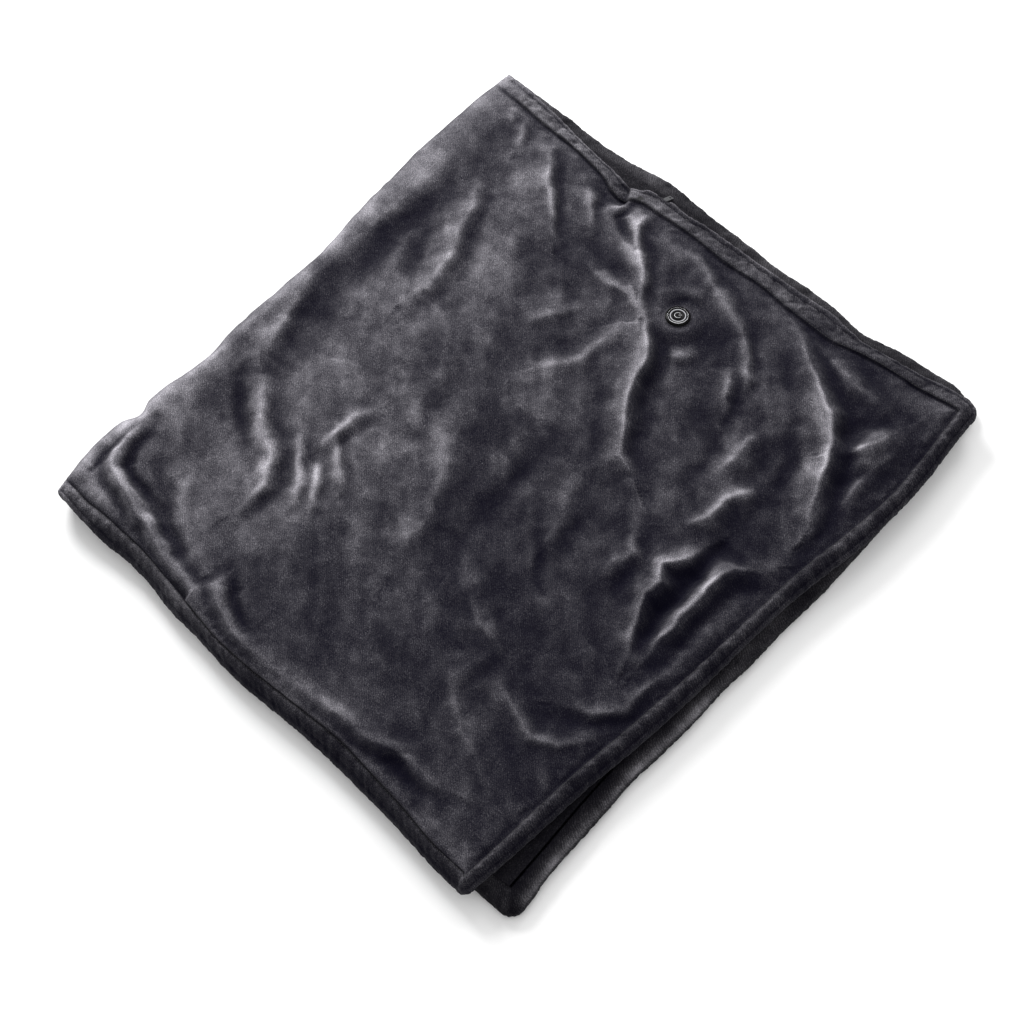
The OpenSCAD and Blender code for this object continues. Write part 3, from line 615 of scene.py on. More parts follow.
def build_lower():
    """Points of the lower half's plush and hem, resting on the floor."""
    band = lower.sides()
    row = band["row"]
    x0, y0, r, px, py = plan(band)
    z_out, _, in0, in1 = hem_heights(band, ((0.3, 0),) * 3, ((23.5, 10), (23.5, 14), (23.5, 10)))
    in1 = 2 + (in1 - 2) * smooth(HINGE_X, HINGE_X + LEVEL_REACH, x0)
    z_in = in0 - in1 * r ** 1.4
    side = BAND_SIDE[row]
    bump = np.where(side < -0.3, -BAND_RISE[np.clip(ROWS - row, 0, ROWS)] * 0.6, 0)
    z = (z_out + z_in) / 2 + (z_out - z_in) / 2 * side - bump
    z += gathers(px, py, 41) * 0.8 * np.clip(-side, 0, 1) * (row > 0)
    floor_side = 0.35 + 0.3 * wave(x0, y0, 40, 51)
    return np.stack([px, py, np.where(row == 0, floor_side, np.maximum(z, 0.05))], -1), band


upper_grid, upper_sides = build_upper()
lower_grid, lower_sides = build_lower()

# ---------------------------------------------------------------- the strip round the fold

TURN_STEPS = 44


def fold_strip():
    """Joins the first column of the upper half to that of the lower half, round the outside of the fold."""
    first_up = upper_grid[0]
    first_lo = lower_grid[0]
    angles = np.linspace(0, np.pi, TURN_STEPS + 1)
    fold_ends = (FOLD_LINE[0][0] + 2, FOLD_LINE[-1][0])
    bulge = HINGE_X - through(FOLD_LINE, np.clip(first_up[:, 1], *fold_ends))
    inner_rows = np.maximum(upper_sides["row"][0] - EDGE_ROW, 0)
    keep = np.clip(1 - inner_rows / (ROWS - EDGE_ROW) * 0.93, 0.05, 1)
    strip = np.zeros((TURN_STEPS + 1, len(first_up), 3))
    for n, angle in enumerate(angles):
        share = (1 - math.cos(angle)) / 2
        rho = (first_up[:, 2] - MID_Z) * (1 - share) + (MID_Z - first_lo[:, 2]) * share
        strip[n, :, 0] = HINGE_X - math.sin(angle) * bulge * keep
        strip[n, :, 1] = first_up[:, 1] * (1 - share) + first_lo[:, 1] * share
        strip[n, :, 2] = MID_Z + math.cos(angle) * rho
    ripple = wave(strip[..., 1], strip[..., 2], 34, 61) + 0.5 * wave(strip[..., 1], strip[..., 2], 12, 62)
    strip[..., 0] += ripple * 1.6 * np.sin(angles)[:, None] * keep[None]
    return strip


# one sheet: lower half's open edge, the fold, upper half's open edge
sheet = np.concatenate([lower_grid[::-1], fold_strip()[1:-1][::-1], upper_grid], 0)
LOWER_COUNT = len(lower_grid)
STRIP_COUNT = TURN_STEPS - 1


def grid_normals(p):
    """Unit normals of a grid of points."""
    da = np.gradient(p, axis=0)
    db = np.gradient(p, axis=1)
    n = np.cross(da, db)
    size = np.linalg.norm(n, axis=-1, keepdims=True)
    return n / np.maximum(size, 1e-9)


def roughen(p, rows):
    """The long pile on the hems stands up in small tufts."""
    n = grid_normals(p)
    fuzz = wave(p[..., 0] + p[..., 2], p[..., 1] - p[..., 2], 4.1, 101)
    fuzz += 0.7 * wave(p[..., 0] - p[..., 2], p[..., 1] + p[..., 2], 2.6, 102)
    share = smooth(0, 4, rows) * smooth(19, 16, rows)
    return p + n * (0.55 * fuzz * share)[..., None]


strip_rows = np.repeat(upper_sides["row"][:1], STRIP_COUNT, 0)
sheet = roughen(sheet, np.concatenate([lower_sides["row"][::-1], strip_rows, upper_sides["row"]], 0))
sheet[..., 2] = np.maximum(sheet[..., 2], 0.1)
sheet_normals = grid_normals(sheet)


def box_blur(field, reach):
    """The mean over a square that goes reach cells each way."""
    pad = np.pad(field, reach, mode="edge")
    total = np.cumsum(np.cumsum(np.pad(pad, ((1, 0), (1, 0))), 0), 1)
    w = 2 * reach + 1
    return (total[w:, w:] - total[:-w, w:] - total[w:, :-w] + total[:-w, :-w]) / (w * w)


def blur(field, reach):
    """The mean twice over, which is smoother."""
    return box_blur(box_blur(field, reach), reach)


# ---------------------------------------------------------------- lightness of the pile, with painted light and shade

# lighter and darker patches of the pile: place, reach along x and y, lightness; they stand partly for
# brushed pile and partly for painted shade, such as the dark ones along the deep valley beside the fold
PILE_PATCHES_AND_PAINTED_SHADE = [
    (-110, -150, 110, 150, 0.50),
    (-245, -315, 50, 40, 0.35),
    (-245, 180, 55, 110, 0.30),
    (165, 160, 55, 90, 0.30),
    (180, 330, 110, 45, -0.40),
    (-105, 100, 60, 60, 0.30),
    (-245, -260, 32, 90, 0.55),
    (-175, -250, 28, 60, -0.50),
    (-105, -140, 40, 160, 0.25),
    (-35, 210, 45, 60, 0.50),
    (140, 60, 70, 220, 0.30),
    (330, -150, 30, 160, 0.25),
    (30, 40, 50, 60, 0.25),
    (-175, 240, 35, 35, 0.35),
    (-325, 130, 14, 80, -0.45),
    (-352, 376, 45, 24, -0.8),
    (-175, -110, 30, 60, -0.30),
    (10, 320, 60, 30, 0.30),
    (0, 200, 60, 40, 0.20),
    (-310, -20, 16, 90, -0.45),
    (285, -175, 50, 60, -0.25),
]


def pile_tones_and_painted_light(p, normals):
    """How light the pile looks: painted highlights where it stands up and painted shade in its hollows,
    painted light on slopes that face the key light and on the fold's edge, lighter towards the key light's
    side, patches and random tone.
    """
    x = p[..., 0]
    y = p[..., 1]
    z = p[..., 2]
    scale = 2.7 / SPACE
    fine = z - blur(z, max(1, int(2 * scale)))
    wide = z - blur(z, max(2, int(7 * scale)))
    broad = z - blur(z, max(3, int(16 * scale)))
    # painted highlights where the plush stands up, painted shade where it sinks
    tone = 0.30 * np.clip(fine / 0.5, -0.8, 1.0) + 0.34 * np.clip(wide / 2.0, -1.6, 1.4)
    tone = 0.12 + (tone - 0.12) * smooth(22, 40, from_controller(x, y))
    top = smooth(36, 41, z) * (normals[..., 2] > 0)
    calm_side = 0.72 + 0.28 * smooth(-160, -20, x)
    # painted highlights on the main crests, painted shade beside their steep sides and in the valleys
    tone += 0.82 * painted_crest_light_and_shade(*warp(x, y)) * calm_side * top * (0.9 + 0.25 * layers(x, y, 33, 76, 2))
    # the same painted light and shade at a larger size
    tone += 0.25 * np.clip(broad / 3.5, -1.8, 1.5)
    # painted light: slopes that face the key light are made lighter
    faces_key_light = -normals[..., 0] * 0.85 + normals[..., 1] * 0.45
    tone += 1.5 * np.clip(faces_key_light, -0.6, 0.4) * (0.25 + 0.75 * smooth(0.25, 0.8, normals[..., 2]))
    # painted shade on the sides that face the key light most squarely, which tones down their bright rim
    tone -= 0.30 * smooth(-0.35, -0.8, normals[..., 0])
    # painted light: lighter towards the key light's side and darker away from it
    tone += 0.60 * smooth(60, -330, x) - 0.42 * smooth(0, 320, x)
    # painted light on the fold's edge, which faces the key light
    tone += 0.25 * smooth(-300, -350, x) * smooth(20, 70, y) * smooth(240, 180, y)
    for cx, cy, rx, ry, amount in PILE_PATCHES_AND_PAINTED_SHADE:
        tone += amount * bell(x - cx, rx) * bell(y - cy, ry)
    tone -= 0.35 * smooth(-335, -385, y) * smooth(40, 150, x)
    streaks = layers(0.8 * x + 0.6 * y, 0.35 * (0.8 * y - 0.6 * x), 30, 73, 3)
    tone += 0.42 * np.tanh(2 * layers(x, y, 85, 71)) + 0.26 * np.tanh(2 * layers(x, y, 27, 72))
    tone += 0.2 * streaks
    return tone


def hem_painted_light_and_shade(band, is_upper):
    """Painted light and shade on the hems: painted shade in the seam's groove and the band's dip, painted
    highlights on the band's crest and edge, lighter near the fold; the lower hem gets painted shadow under
    the upper half and a painted highlight on its open edge.
    """
    row = band["row"]
    side = BAND_SIDE[row]
    r = BAND_SHARE[row]
    x = band["seam"][..., 0]
    y = band["seam"][..., 1]
    zipped_side = band["turn"] * (~band["is_low"])
    by_fold = smooth(HINGE_X + 70, HINGE_X, x)
    # painted shade in the seam's groove and the band's dip, painted highlights on the band's crest and
    # along its edge
    tone = -0.55 * bell(r - 0.03, 0.05) + 0.45 * bell(r - 0.24, 0.10)
    tone += -0.5 * bell(r - 0.76, 0.04) + 0.35 * smooth(0.8, 0.97, r)
    if is_upper:
        # painted light: lighter towards the fold, on the key light's side
        hem_shift_with_painted_falloff = 0.30 * smooth(60, -200, x) - 0.35 * zipped_side * smooth(0, 120, x) - 0.25
        return (tone * np.clip(side, 0, 1) + hem_shift_with_painted_falloff + 0.23 * by_fold) * (row > 0)
    open_edge = (1 - band["turn"]) * smooth(60, -120, y)
    # painted shadow of the upper half near the lower hem's seam, painted highlight on its open edge
    lift = open_edge * (2.5 * smooth(0.35, 0.85, r) - 1.2 * smooth(0.45, 0.1, r))
    # painted shadow under the upper hem on the zipped side
    lower_painted_light = (0.5 * tone + lift - 0.8 * zipped_side * (1 - by_fold)) * np.clip(-side, 0, 1)
    return (lower_painted_light + 0.83 * by_fold) * (row > 0)


sheet_tone = pile_tones_and_painted_light(sheet, sheet_normals)
sheet_tone[:LOWER_COUNT] += hem_painted_light_and_shade(lower_sides, False)[::-1]
sheet_tone[LOWER_COUNT + STRIP_COUNT:] += hem_painted_light_and_shade(upper_sides, True)

# ---------------------------------------------------------------- meshes


def add_mesh(name, points, faces, normals=None, tone=None):
    """A smooth mesh from points in millimetres. Cloth also keeps its tone and its places at rest."""
    mesh = bpy.data.meshes.new(name)
    places = (np.asarray(points) * MM).astype(np.float32).ravel()
    mesh.vertices.add(len(points))
    mesh.vertices.foreach_set("co", places)
    faces = np.asarray(faces, dtype=np.int32)
    corners = faces.shape[1]
    mesh.loops.add(faces.size)
    mesh.loops.foreach_set("vertex_index", faces.ravel())
    mesh.polygons.add(len(faces))
    mesh.polygons.foreach_set("loop_start", np.arange(0, faces.size, corners, dtype=np.int32))
    mesh.polygons.foreach_set("loop_total", np.full(len(faces), corners, dtype=np.int32))
    mesh.update(calc_edges=True)
    mesh.validate()
    mesh.polygons.foreach_set("use_smooth", np.ones(len(mesh.polygons), bool))
    if tone is not None:
        kept = mesh.attributes.new("tone", "FLOAT", "POINT")
        kept.data.foreach_set("value", tone.astype(np.float32))
        kept = mesh.attributes.new("rest_pos", "FLOAT_VECTOR", "POINT")
        kept.data.foreach_set("vector", places)
    if normals is not None:
        mesh.normals_split_custom_set_from_vertices(normals.astype(np.float32).tolist())
    obj = bpy.data.objects.new(name, mesh)
    bpy.context.scene.collection.objects.link(obj)
    return obj


def grid_faces(mask):
    """Quads of an index grid where mask is true, and the vertices they use."""
    na = mask.shape[0] + 1
    nb = mask.shape[1] + 1
    a, b = np.nonzero(mask)
    quads = np.stack([a * nb + b, (a + 1) * nb + b, (a + 1) * nb + b + 1, a * nb + b + 1], -1)
    used = np.unique(quads)
    place = np.full(na * nb, -1)
    place[used] = np.arange(len(used))
    return used, place[quads]


def sheet_piece(name, mask):
    """The cells of the sheet where mask is true, as a piece of their own."""
    used, quads = grid_faces(mask)
    return add_mesh(name, sheet.reshape(-1, 3)[used], quads, sheet_normals.reshape(-1, 3)[used],
                    sheet_tone.ravel()[used])


NA = sheet.shape[0] - 1
NB = sheet.shape[1] - 1
face_a, face_b = np.indices((NA, NB))
is_lower = face_a < LOWER_COUNT - 1
is_upper = face_a >= LOWER_COUNT + STRIP_COUNT
is_strip = ~is_lower & ~is_upper
in_rows = (face_b >= ROWS) & (face_b < ROWS + NV)
upper_a = face_a - (LOWER_COUNT + STRIP_COUNT)
upper_panel = is_upper & in_rows & (upper_a < NU)
lower_a = LOWER_COUNT - 2 - face_a
lower_panel = is_lower & in_rows & (lower_a < NU)
centre = (sheet[:-1, :-1] + sheet[1:, 1:]) / 2
hole = from_controller(centre[..., 0], centre[..., 1]) < HOLE_RADIUS

pieces = {
    "upper_plush": sheet_piece("upper_plush", upper_panel & ~hole),
    "upper_hem_band": sheet_piece("upper_hem_band", is_upper & ~upper_panel),
    "fold_plush": sheet_piece("fold_plush", is_strip),
    "lower_plush": sheet_piece("lower_plush", lower_panel),
    "lower_hem_band": sheet_piece("lower_hem_band", is_lower & ~lower_panel),
}


def lining_piece(name, half, height, seed, side):
    """The lining of one half, facing the other half."""
    step = 2
    p = half.inner[::step, ::step]
    u = np.linspace(0, 1, p.shape[0])[:, None]
    v = np.linspace(0, 1, p.shape[1])[None]
    border = np.minimum(np.minimum(v, 1 - v), 1 - u)
    z = height + side * 0.55 * layers(p[..., 0], p[..., 1], 48, seed) * smooth(0, 0.03, border)
    grid = np.concatenate([p, z[..., None]], -1)
    normals = grid_normals(grid) * (1 if side > 0 else -1)
    _, quads = grid_faces(np.ones((p.shape[0] - 1, p.shape[1] - 1), bool))
    if side < 0:
        quads = quads[:, ::-1]
    flat = grid.reshape(-1, 3)
    # painted shade: the lining darkens towards the open edge, in the gap between the halves
    tone = 0.3 * layers(flat[:, 0], flat[:, 1], 80, seed + 3) + 0.2 - 1.1 * smooth(295, 325, flat[:, 0])
    return add_mesh(name, flat, quads, normals.reshape(-1, 3), tone)


pieces["upper_lining_cloth"] = lining_piece("upper_lining_cloth", upper, UPPER_LINING_Z, 81, -1)
pieces["lower_lining_cloth"] = lining_piece("lower_lining_cloth", lower, LOWER_LINING_Z, 91, 1)

TURN_Z = (UPPER_LINING_Z + LOWER_LINING_Z) / 2
TURN_RADIUS = 1.25


def lining_turn():
    """The lining where it turns inside the fold."""
    ys = np.linspace(*LINING_TURN_ENDS, 180)
    angles = np.linspace(-0.25, np.pi + 0.25, 15)
    grid = np.zeros((len(angles), len(ys), 3))
    for n, angle in enumerate(angles):
        grid[n, :, 0] = HINGE_X + 2.0 - 3.2 * max(math.sin(angle), -0.2) * 1.2
        grid[n, :, 1] = ys
        grid[n, :, 2] = TURN_Z + TURN_RADIUS * math.cos(min(max(angle, 0), math.pi))
    _, quads = grid_faces(np.ones((len(angles) - 1, len(ys) - 1), bool))
    flat = grid.reshape(-1, 3)
    return add_mesh("lining_turn", flat, quads, tone=np.full(len(flat), 0.2))


pieces["lining_turn"] = lining_turn()


# ---------------------------------------------------------------- pocket and thread

def spaced(stops, step):
    """Values from each stop to the next, about step apart."""
    parts = [np.linspace(a, b, max(2, int((b - a) / step))) for a, b in zip(stops, stops[1:])]
    return np.unique(np.concatenate(parts))


def pocket_bag():
    """A flat bag with a shelf behind the zip and a bay for the battery, open at the zip."""
    shelf_x0, shelf_x1, shelf_y0, mouth_y = SHELF
    bay_x0, bay_x1, bay_y0, bay_y1 = BAY
    xs = spaced([shelf_x0, bay_x0, shelf_x1, bay_x1], 4)
    ys = spaced([bay_y0, shelf_y0, bay_y1, mouth_y], 4)
    x, y = np.meshgrid(xs, ys, indexing="ij")
    shelf = np.minimum(np.minimum(x - shelf_x0, shelf_x1 - x), y - shelf_y0)
    bay = np.minimum(np.minimum(x - bay_x0, bay_x1 - x), np.minimum(y - bay_y0, bay_y1 - y))
    inside = np.maximum(shelf, bay)
    swell = 1 - np.exp(-np.maximum(inside, 0) / 1.5)
    slack = (1.3 + 0.7 * wave(x, y, 38, 111)) * (1 - smooth(16, 4, beyond(x, y, BATTERY_ROOM)))
    top = POCKET_MID_Z + swell * (POCKET_HALF_DEPTH - slack)
    bottom = POCKET_MID_Z - swell * (POCKET_HALF_DEPTH - 0.8 * slack)
    centre_x = (x[:-1, :-1] + x[1:, 1:]) / 2
    centre_y = (y[:-1, :-1] + y[1:, 1:]) / 2
    mask = (centre_x < shelf_x1) & (centre_y > shelf_y0)
    mask |= (centre_x > bay_x0) & (centre_y < bay_y1)
    used, quads = grid_faces(mask)
    flat = [np.stack([x, y, z], -1).reshape(-1, 3)[used] for z in (top, bottom)]
    mouth = (y.ravel()[used] > mouth_y - 0.1) & (inside.ravel()[used] > 0.5)
    sewn = (inside.ravel()[used] < 0.01) & ~mouth
    count = len(used)
    below = np.where(sewn, np.arange(count), np.arange(count) + count)
    faces = np.concatenate([quads, below[quads][:, ::-1]])
    return add_mesh("pocket_bag", np.concatenate(flat), faces)


pieces["pocket_bag"] = pocket_bag()


def tube_faces(count, sides, closed=False):
    """Quads round a row of rings."""
    faces = []
    for i in range(count if closed else count - 1):
        j = (i + 1) % count
        for k in range(sides):
            m = (k + 1) % sides
            faces.append((i * sides + k, j * sides + k, j * sides + m, i * sides + m))
    return np.array(faces)


THREAD_SIDES = 6


def thread_piece(name, starts, ends, radius, lift):
    """Short stitches from each start to each end, standing up by lift in their middle."""
    starts = np.asarray(starts, float)
    way = np.asarray(ends, float) - starts
    share = np.array([0, 0.25, 0.5, 0.75, 1.0])
    rise = np.array([-0.5, 0.6, 1.0, 0.6, -0.5]) * lift
    thick = np.array([0.6, 1.0, 1.0, 1.0, 0.6]) * radius
    middle = starts[:, None] + way[:, None] * share[None, :, None]
    middle[..., 2] += rise[None]
    across = np.stack([way[:, 1], -way[:, 0], np.zeros(len(way))], -1)
    across /= np.linalg.norm(across, axis=1, keepdims=True)
    angles = np.arange(THREAD_SIDES) * 2 * math.pi / THREAD_SIDES
    ring = (np.cos(angles)[None, None, :, None] * across[:, None, None]
            + np.sin(angles)[None, None, :, None] * np.array([0, 0, 1.0]))
    points = middle[:, :, None] + thick[None, :, None, None] * ring
    first = len(share) * THREAD_SIDES * np.arange(len(starts))
    faces = tube_faces(len(share), THREAD_SIDES)[None] + first[:, None, None]
    return add_mesh(name, points.reshape(-1, 3), faces.reshape(-1, 4))


def along_seam():
    """The line just outside the upper half's seam, from one end of the fold to the other."""
    low = upper_grid[:NU + 1, ROWS - 2]
    far = upper_grid[NU + 2, ROWS:ROWS + NV + 1]
    high = upper_grid[:NU + 1, ROWS + NV + 2][::-1]
    return np.concatenate([low, far, high])


def seam_stitches():
    """The top stitching beside the upper half's seam."""
    line = along_seam()
    steps = np.linalg.norm(np.diff(line, axis=0), axis=1)
    place = np.concatenate([[0], np.cumsum(steps)])
    first = np.arange(4, place[-1] - 8, STITCH_SPACING)
    starts = np.stack([np.interp(first, place, line[:, k]) for k in range(3)], -1)
    ends = np.stack([np.interp(first + STITCH_LENGTH, place, line[:, k]) for k in range(3)], -1)
    return thread_piece("seam_stitches", starts, ends, 0.32, 0.45)


def bar_tack():
    """A dense block of stitches that holds the tuck's end."""
    starts = []
    ends = []
    outer = upper_grid[:, ROWS + NV + 1:ROWS + NV + 10].reshape(-1, 3)
    for n in range(9):
        x = TACK_FROM_X + 0.9 * n
        heights = []
        for y in TACK_ENDS_Y:
            nearest = np.argmin(np.hypot(outer[:, 0] - x, outer[:, 1] - y))
            heights.append(outer[nearest, 2] + 0.25)
        starts.append((x, TACK_ENDS_Y[0], heights[0]))
        ends.append((x + 0.4, TACK_ENDS_Y[1], heights[1]))
    return thread_piece("bar_tack", starts, ends, 0.38, 0.4)


pieces["seam_stitches"] = seam_stitches()
pieces["bar_tack"] = bar_tack()

# ---------------------------------------------------------------- materials


# a wave texture of scale 1 repeats after this many metres
WAVE_PERIOD = 0.314


def new_material(name):
    """A material with its node tree and its shader."""
    mat = bpy.data.materials.new(name)
    mat.use_nodes = True
    return mat, mat.node_tree, mat.node_tree.nodes["Principled BSDF"]


def feed(tree, node, values):
    """Gives each named socket its value, or a link where the value is another node's output."""
    for key, value in values.items():
        if isinstance(value, bpy.types.NodeSocket):
            tree.links.new(value, node.inputs[key])
        else:
            node.inputs[key].default_value = value


def add_node(tree, kind, values, **settings):
    """A new node's first output; the node's sockets get the values."""
    node = tree.nodes.new(kind)
    for key, value in settings.items():
        setattr(node, key, value)
    feed(tree, node, values)
    return node.outputs[0]


def math_node(tree, operation, *values):
    """One sum of numbers and outputs."""
    return add_node(tree, "ShaderNodeMath", dict(enumerate(values)), operation=operation)


def scaled(tree, factor, centre):
    """A texture's 0 to 1 turned into minus centre to plus centre."""
    return math_node(tree, "MULTIPLY_ADD", factor, 2 * centre, -centre)


def attribute(tree, name, output):
    """A value kept at the mesh's vertices."""
    node = tree.nodes.new("ShaderNodeAttribute")
    node.attribute_name = name
    return node.outputs[output]


def noise(tree, place, scale, detail, **more):
    """A noise texture's factor."""
    values = {"Vector": place, "Scale": scale, "Detail": detail}
    values.update(more)
    node = tree.nodes.new("ShaderNodeTexNoise")
    feed(tree, node, values)
    return node.outputs["Fac"]


def bump_node(tree, height, strength, distance, **more):
    """A normal bent by a height; distance in metres."""
    values = {"Height": height, "Strength": strength, "Distance": distance}
    values.update(more)
    return add_node(tree, "ShaderNodeBump", values)


def plush_material(name, base, gain, sheen, ribs):
    """Short pile, made lighter and darker by the kept tone with its painted light and shade, patches,
    tufts, tips and the knit's rows.
    """
    mat, tree, shader = new_material(name)
    rest = attribute(tree, "rest_pos", "Vector")
    tone = attribute(tree, "tone", "Fac")
    patch = noise(tree, rest, 48, 7, Roughness=0.66, Distortion=0.5)
    tuft = noise(tree, rest, 420, 4, Roughness=0.7)
    tips = noise(tree, rest, 1000, 3)
    knit_values = {"Vector": rest, "Scale": 190, "Distortion": 6, "Detail": 2, "Detail Scale": 0.6}
    knit = tree.nodes.new("ShaderNodeTexWave")
    knit.bands_direction = "DIAGONAL"
    feed(tree, knit, knit_values)
    total = math_node(tree, "ADD", scaled(tree, patch, 1.2), scaled(tree, tuft, 1.0))
    total = math_node(tree, "ADD", total, scaled(tree, tips, 3.0))
    total = math_node(tree, "ADD", total, scaled(tree, knit.outputs["Fac"], 0.5 * ribs))
    # the grain is calmer where the pile is light
    calm = math_node(tree, "MULTIPLY_ADD", tone, -0.24, 1.0)
    grain = math_node(tree, "MULTIPLY", total, calm)
    power = math_node(tree, "EXPONENT", math_node(tree, "MULTIPLY_ADD", tone, gain, grain))
    # the dye shows violet where the pile is dark
    dye = {0: power, 1: (base, 0.965 * base, 1.04 * base), 2: (0.0003, 0.0, 0.0044 * base / 0.019)}
    colour = add_node(tree, "ShaderNodeVectorMath", dye, operation="MULTIPLY_ADD")
    pile_height = math_node(tree, "MULTIPLY_ADD", tuft, 0.8, tips)
    patch_bump = bump_node(tree, patch, 0.5, 0.006)
    feed(tree, shader, {
        "Base Color": colour, "Roughness": 0.9, "Specular IOR Level": 0.06, "Sheen Weight": sheen,
        "Sheen Roughness": 0.42, "Sheen Tint": (0.58, 0.57, 0.60, 1),
        "Normal": bump_node(tree, pile_height, 0.55, 0.0016, Normal=patch_bump),
    })
    return mat


def solid_material(name, colour, roughness, metallic=0.0, shine=0.5, size=700, stretch=(1, 1, 1),
                   change=0.15, depth=0.00003):
    """A hard material whose colour, gloss and surface vary finely; stretch draws the grain out."""
    mat, tree, shader = new_material(name)
    place = tree.nodes.new("ShaderNodeTexCoord").outputs["Object"]
    grain = noise(tree, add_node(tree, "ShaderNodeMapping", {"Vector": place, "Scale": stretch}), size, 4)
    tint = {0: grain, 1: [2 * change * c for c in colour], 2: [(1 - change) * c for c in colour]}
    feed(tree, shader, {
        "Base Color": add_node(tree, "ShaderNodeVectorMath", tint, operation="MULTIPLY_ADD"),
        "Roughness": math_node(tree, "MULTIPLY_ADD", grain, 0.16, roughness - 0.08),
        "Normal": bump_node(tree, grain, 0.4, depth),
        "Metallic": metallic, "Specular IOR Level": shine,
    })
    return mat


def woven_material(name, colour, roughness, pitch, depth=0.00015):
    """A plain weave: two sets of threads that cross, each pitch metres apart."""
    mat, tree, shader = new_material(name)
    place = tree.nodes.new("ShaderNodeTexCoord").outputs["Object"]
    threads = []
    for way in ("X", "Y"):
        node = tree.nodes.new("ShaderNodeTexWave")
        node.bands_direction = way
        feed(tree, node, {"Vector": place, "Scale": WAVE_PERIOD / pitch, "Distortion": 0.8, "Detail": 1})
        threads.append(node.outputs["Fac"])
    cross = math_node(tree, "MULTIPLY", *threads)
    tint = {0: cross, 1: [0.9 * c for c in colour], 2: [0.6 * c for c in colour]}
    feed(tree, shader, {
        "Base Color": add_node(tree, "ShaderNodeVectorMath", tint, operation="MULTIPLY_ADD"),
        "Normal": bump_node(tree, cross, 0.7, depth),
        "Roughness": roughness, "Specular IOR Level": 0.15,
    })
    return mat


# the looks of the pieces made here
CLOTHS = (
    (plush_material("plush", 0.0216, 1.14, 0.15, 0.5), ("upper_plush", "lower_plush", "fold_plush")),
    (plush_material("hem_cloth", 0.0165, 1.1, 0.15, 0.7), ("upper_hem_band",)),
    # the lower hem and the lining are given a much darker base than the plush, as painted shade for where
    # they lie in the gap under the upper half
    (plush_material("lower_cloth", 0.0085, 1.1, 0.12, 0.9), ("lower_hem_band",)),
    (plush_material("lining", 0.0085, 0.8, 0.15, 0.3),
     ("upper_lining_cloth", "lower_lining_cloth", "lining_turn")),
    (woven_material("pocket_cloth", (0.02, 0.02, 0.023), 0.9, 0.0016), ("pocket_bag",)),
    (solid_material("thread", (0.012, 0.012, 0.014), 0.6, size=1800, stretch=(3, 1, 1), change=0.3),
     ("seam_stitches", "bar_tack")),
)
for look, names in CLOTHS:
    for name in names:
        pieces[name].data.materials.append(look)

# the looks of the CAD nodes that stay
LOOKS = (
    (solid_material("bezel_gloss", (0.003, 0.003, 0.0032), 0.26, shine=0.05, size=900, depth=0.00001),
     ("controller_bezel",)),
    (solid_material("button_gloss", (0.0032, 0.0032, 0.0036), 0.30, shine=0.05, size=900, depth=0.00001),
     ("power_button",)),
    (solid_material("light_guide", (0.32, 0.32, 0.34), 0.4, shine=0.3, size=500, change=0.08),
     ("light_ring",)),
    (solid_material("dark_metal", (0.05, 0.05, 0.055), 0.35, 0.9, size=500, stretch=(1, 8, 8)),
     ("zip_slider", "zip_pull")),
    (solid_material("cell_foil", (0.55, 0.56, 0.58), 0.35, 0.9, size=60, change=0.1, depth=0.0004),
     ("battery_cells",)),
    (solid_material("matte_shell", (0.02, 0.02, 0.022), 0.55, size=1500, depth=0.00008),
     ("lower_thermal_cutout", "upper_thermal_cutout", "controller_clamp_ring", "controller_base",
      "battery_plug")),
    (solid_material("battery_shell", (0.028, 0.028, 0.031), 0.5, size=1200, depth=0.0001),
     ("battery_case_base", "battery_case_lid")),
    (solid_material("bright_metal", (0.6, 0.61, 0.63), 0.3, 1.0, size=400, stretch=(1, 12, 12), change=0.1),
     ("tact_switch", "controller_screws", "battery_socket", "battery_screws", "zip_end_stops",
      "lower_splices", "upper_splices", "temperature_sensor")),
    (solid_material("circuit_board", (0.02, 0.12, 0.06), 0.4, size=250, stretch=(1, 6, 1), change=0.35),
     ("controller_board", "battery_board")),
    (solid_material("led_body", (0.85, 0.83, 0.72), 0.3, change=0.06), ("status_leds",)),
    (solid_material("lead_cover", (0.035, 0.035, 0.038), 0.6, size=500, stretch=(1, 1, 6)),
     ("lower_return_lead", "upper_return_lead", "heater_lead", "controller_lead")),
    (solid_material("zip_coil", (0.02, 0.02, 0.022), 0.4, size=800, stretch=(4, 1, 1)),
     ("zip_coil_upper", "zip_coil_lower")),
    (woven_material("zip_tape", (0.02, 0.02, 0.022), 0.85, 0.0012), ("zip_tape_upper", "zip_tape_lower")),
    (woven_material("carbon_tape", (0.012, 0.012, 0.013), 0.5, 0.0022),
     ("lower_heating_tape", "upper_heating_tape")),
)
look_of = {node: look for look, nodes in LOOKS for node in nodes}
for obj in bpy.context.scene.objects:
    if obj.get("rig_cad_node") in look_of:
        for place in obj.material_slots:
            place.link = "OBJECT"
            place.material = look_of[obj["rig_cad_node"]]

# ---------------------------------------------------------------- rings and sign on the controller

lean_turn = Matrix.Rotation(LEAN_TOWARDS, 4, "Z") @ Matrix.Rotation(LEAN, 4, "Y")
controller_place = Matrix.Translation(Vector(CONTROLLER)) @ lean_turn


SILVER = solid_material("silver_line", (0.62, 0.62, 0.64), 0.3, 0.6, size=600, change=0.08)


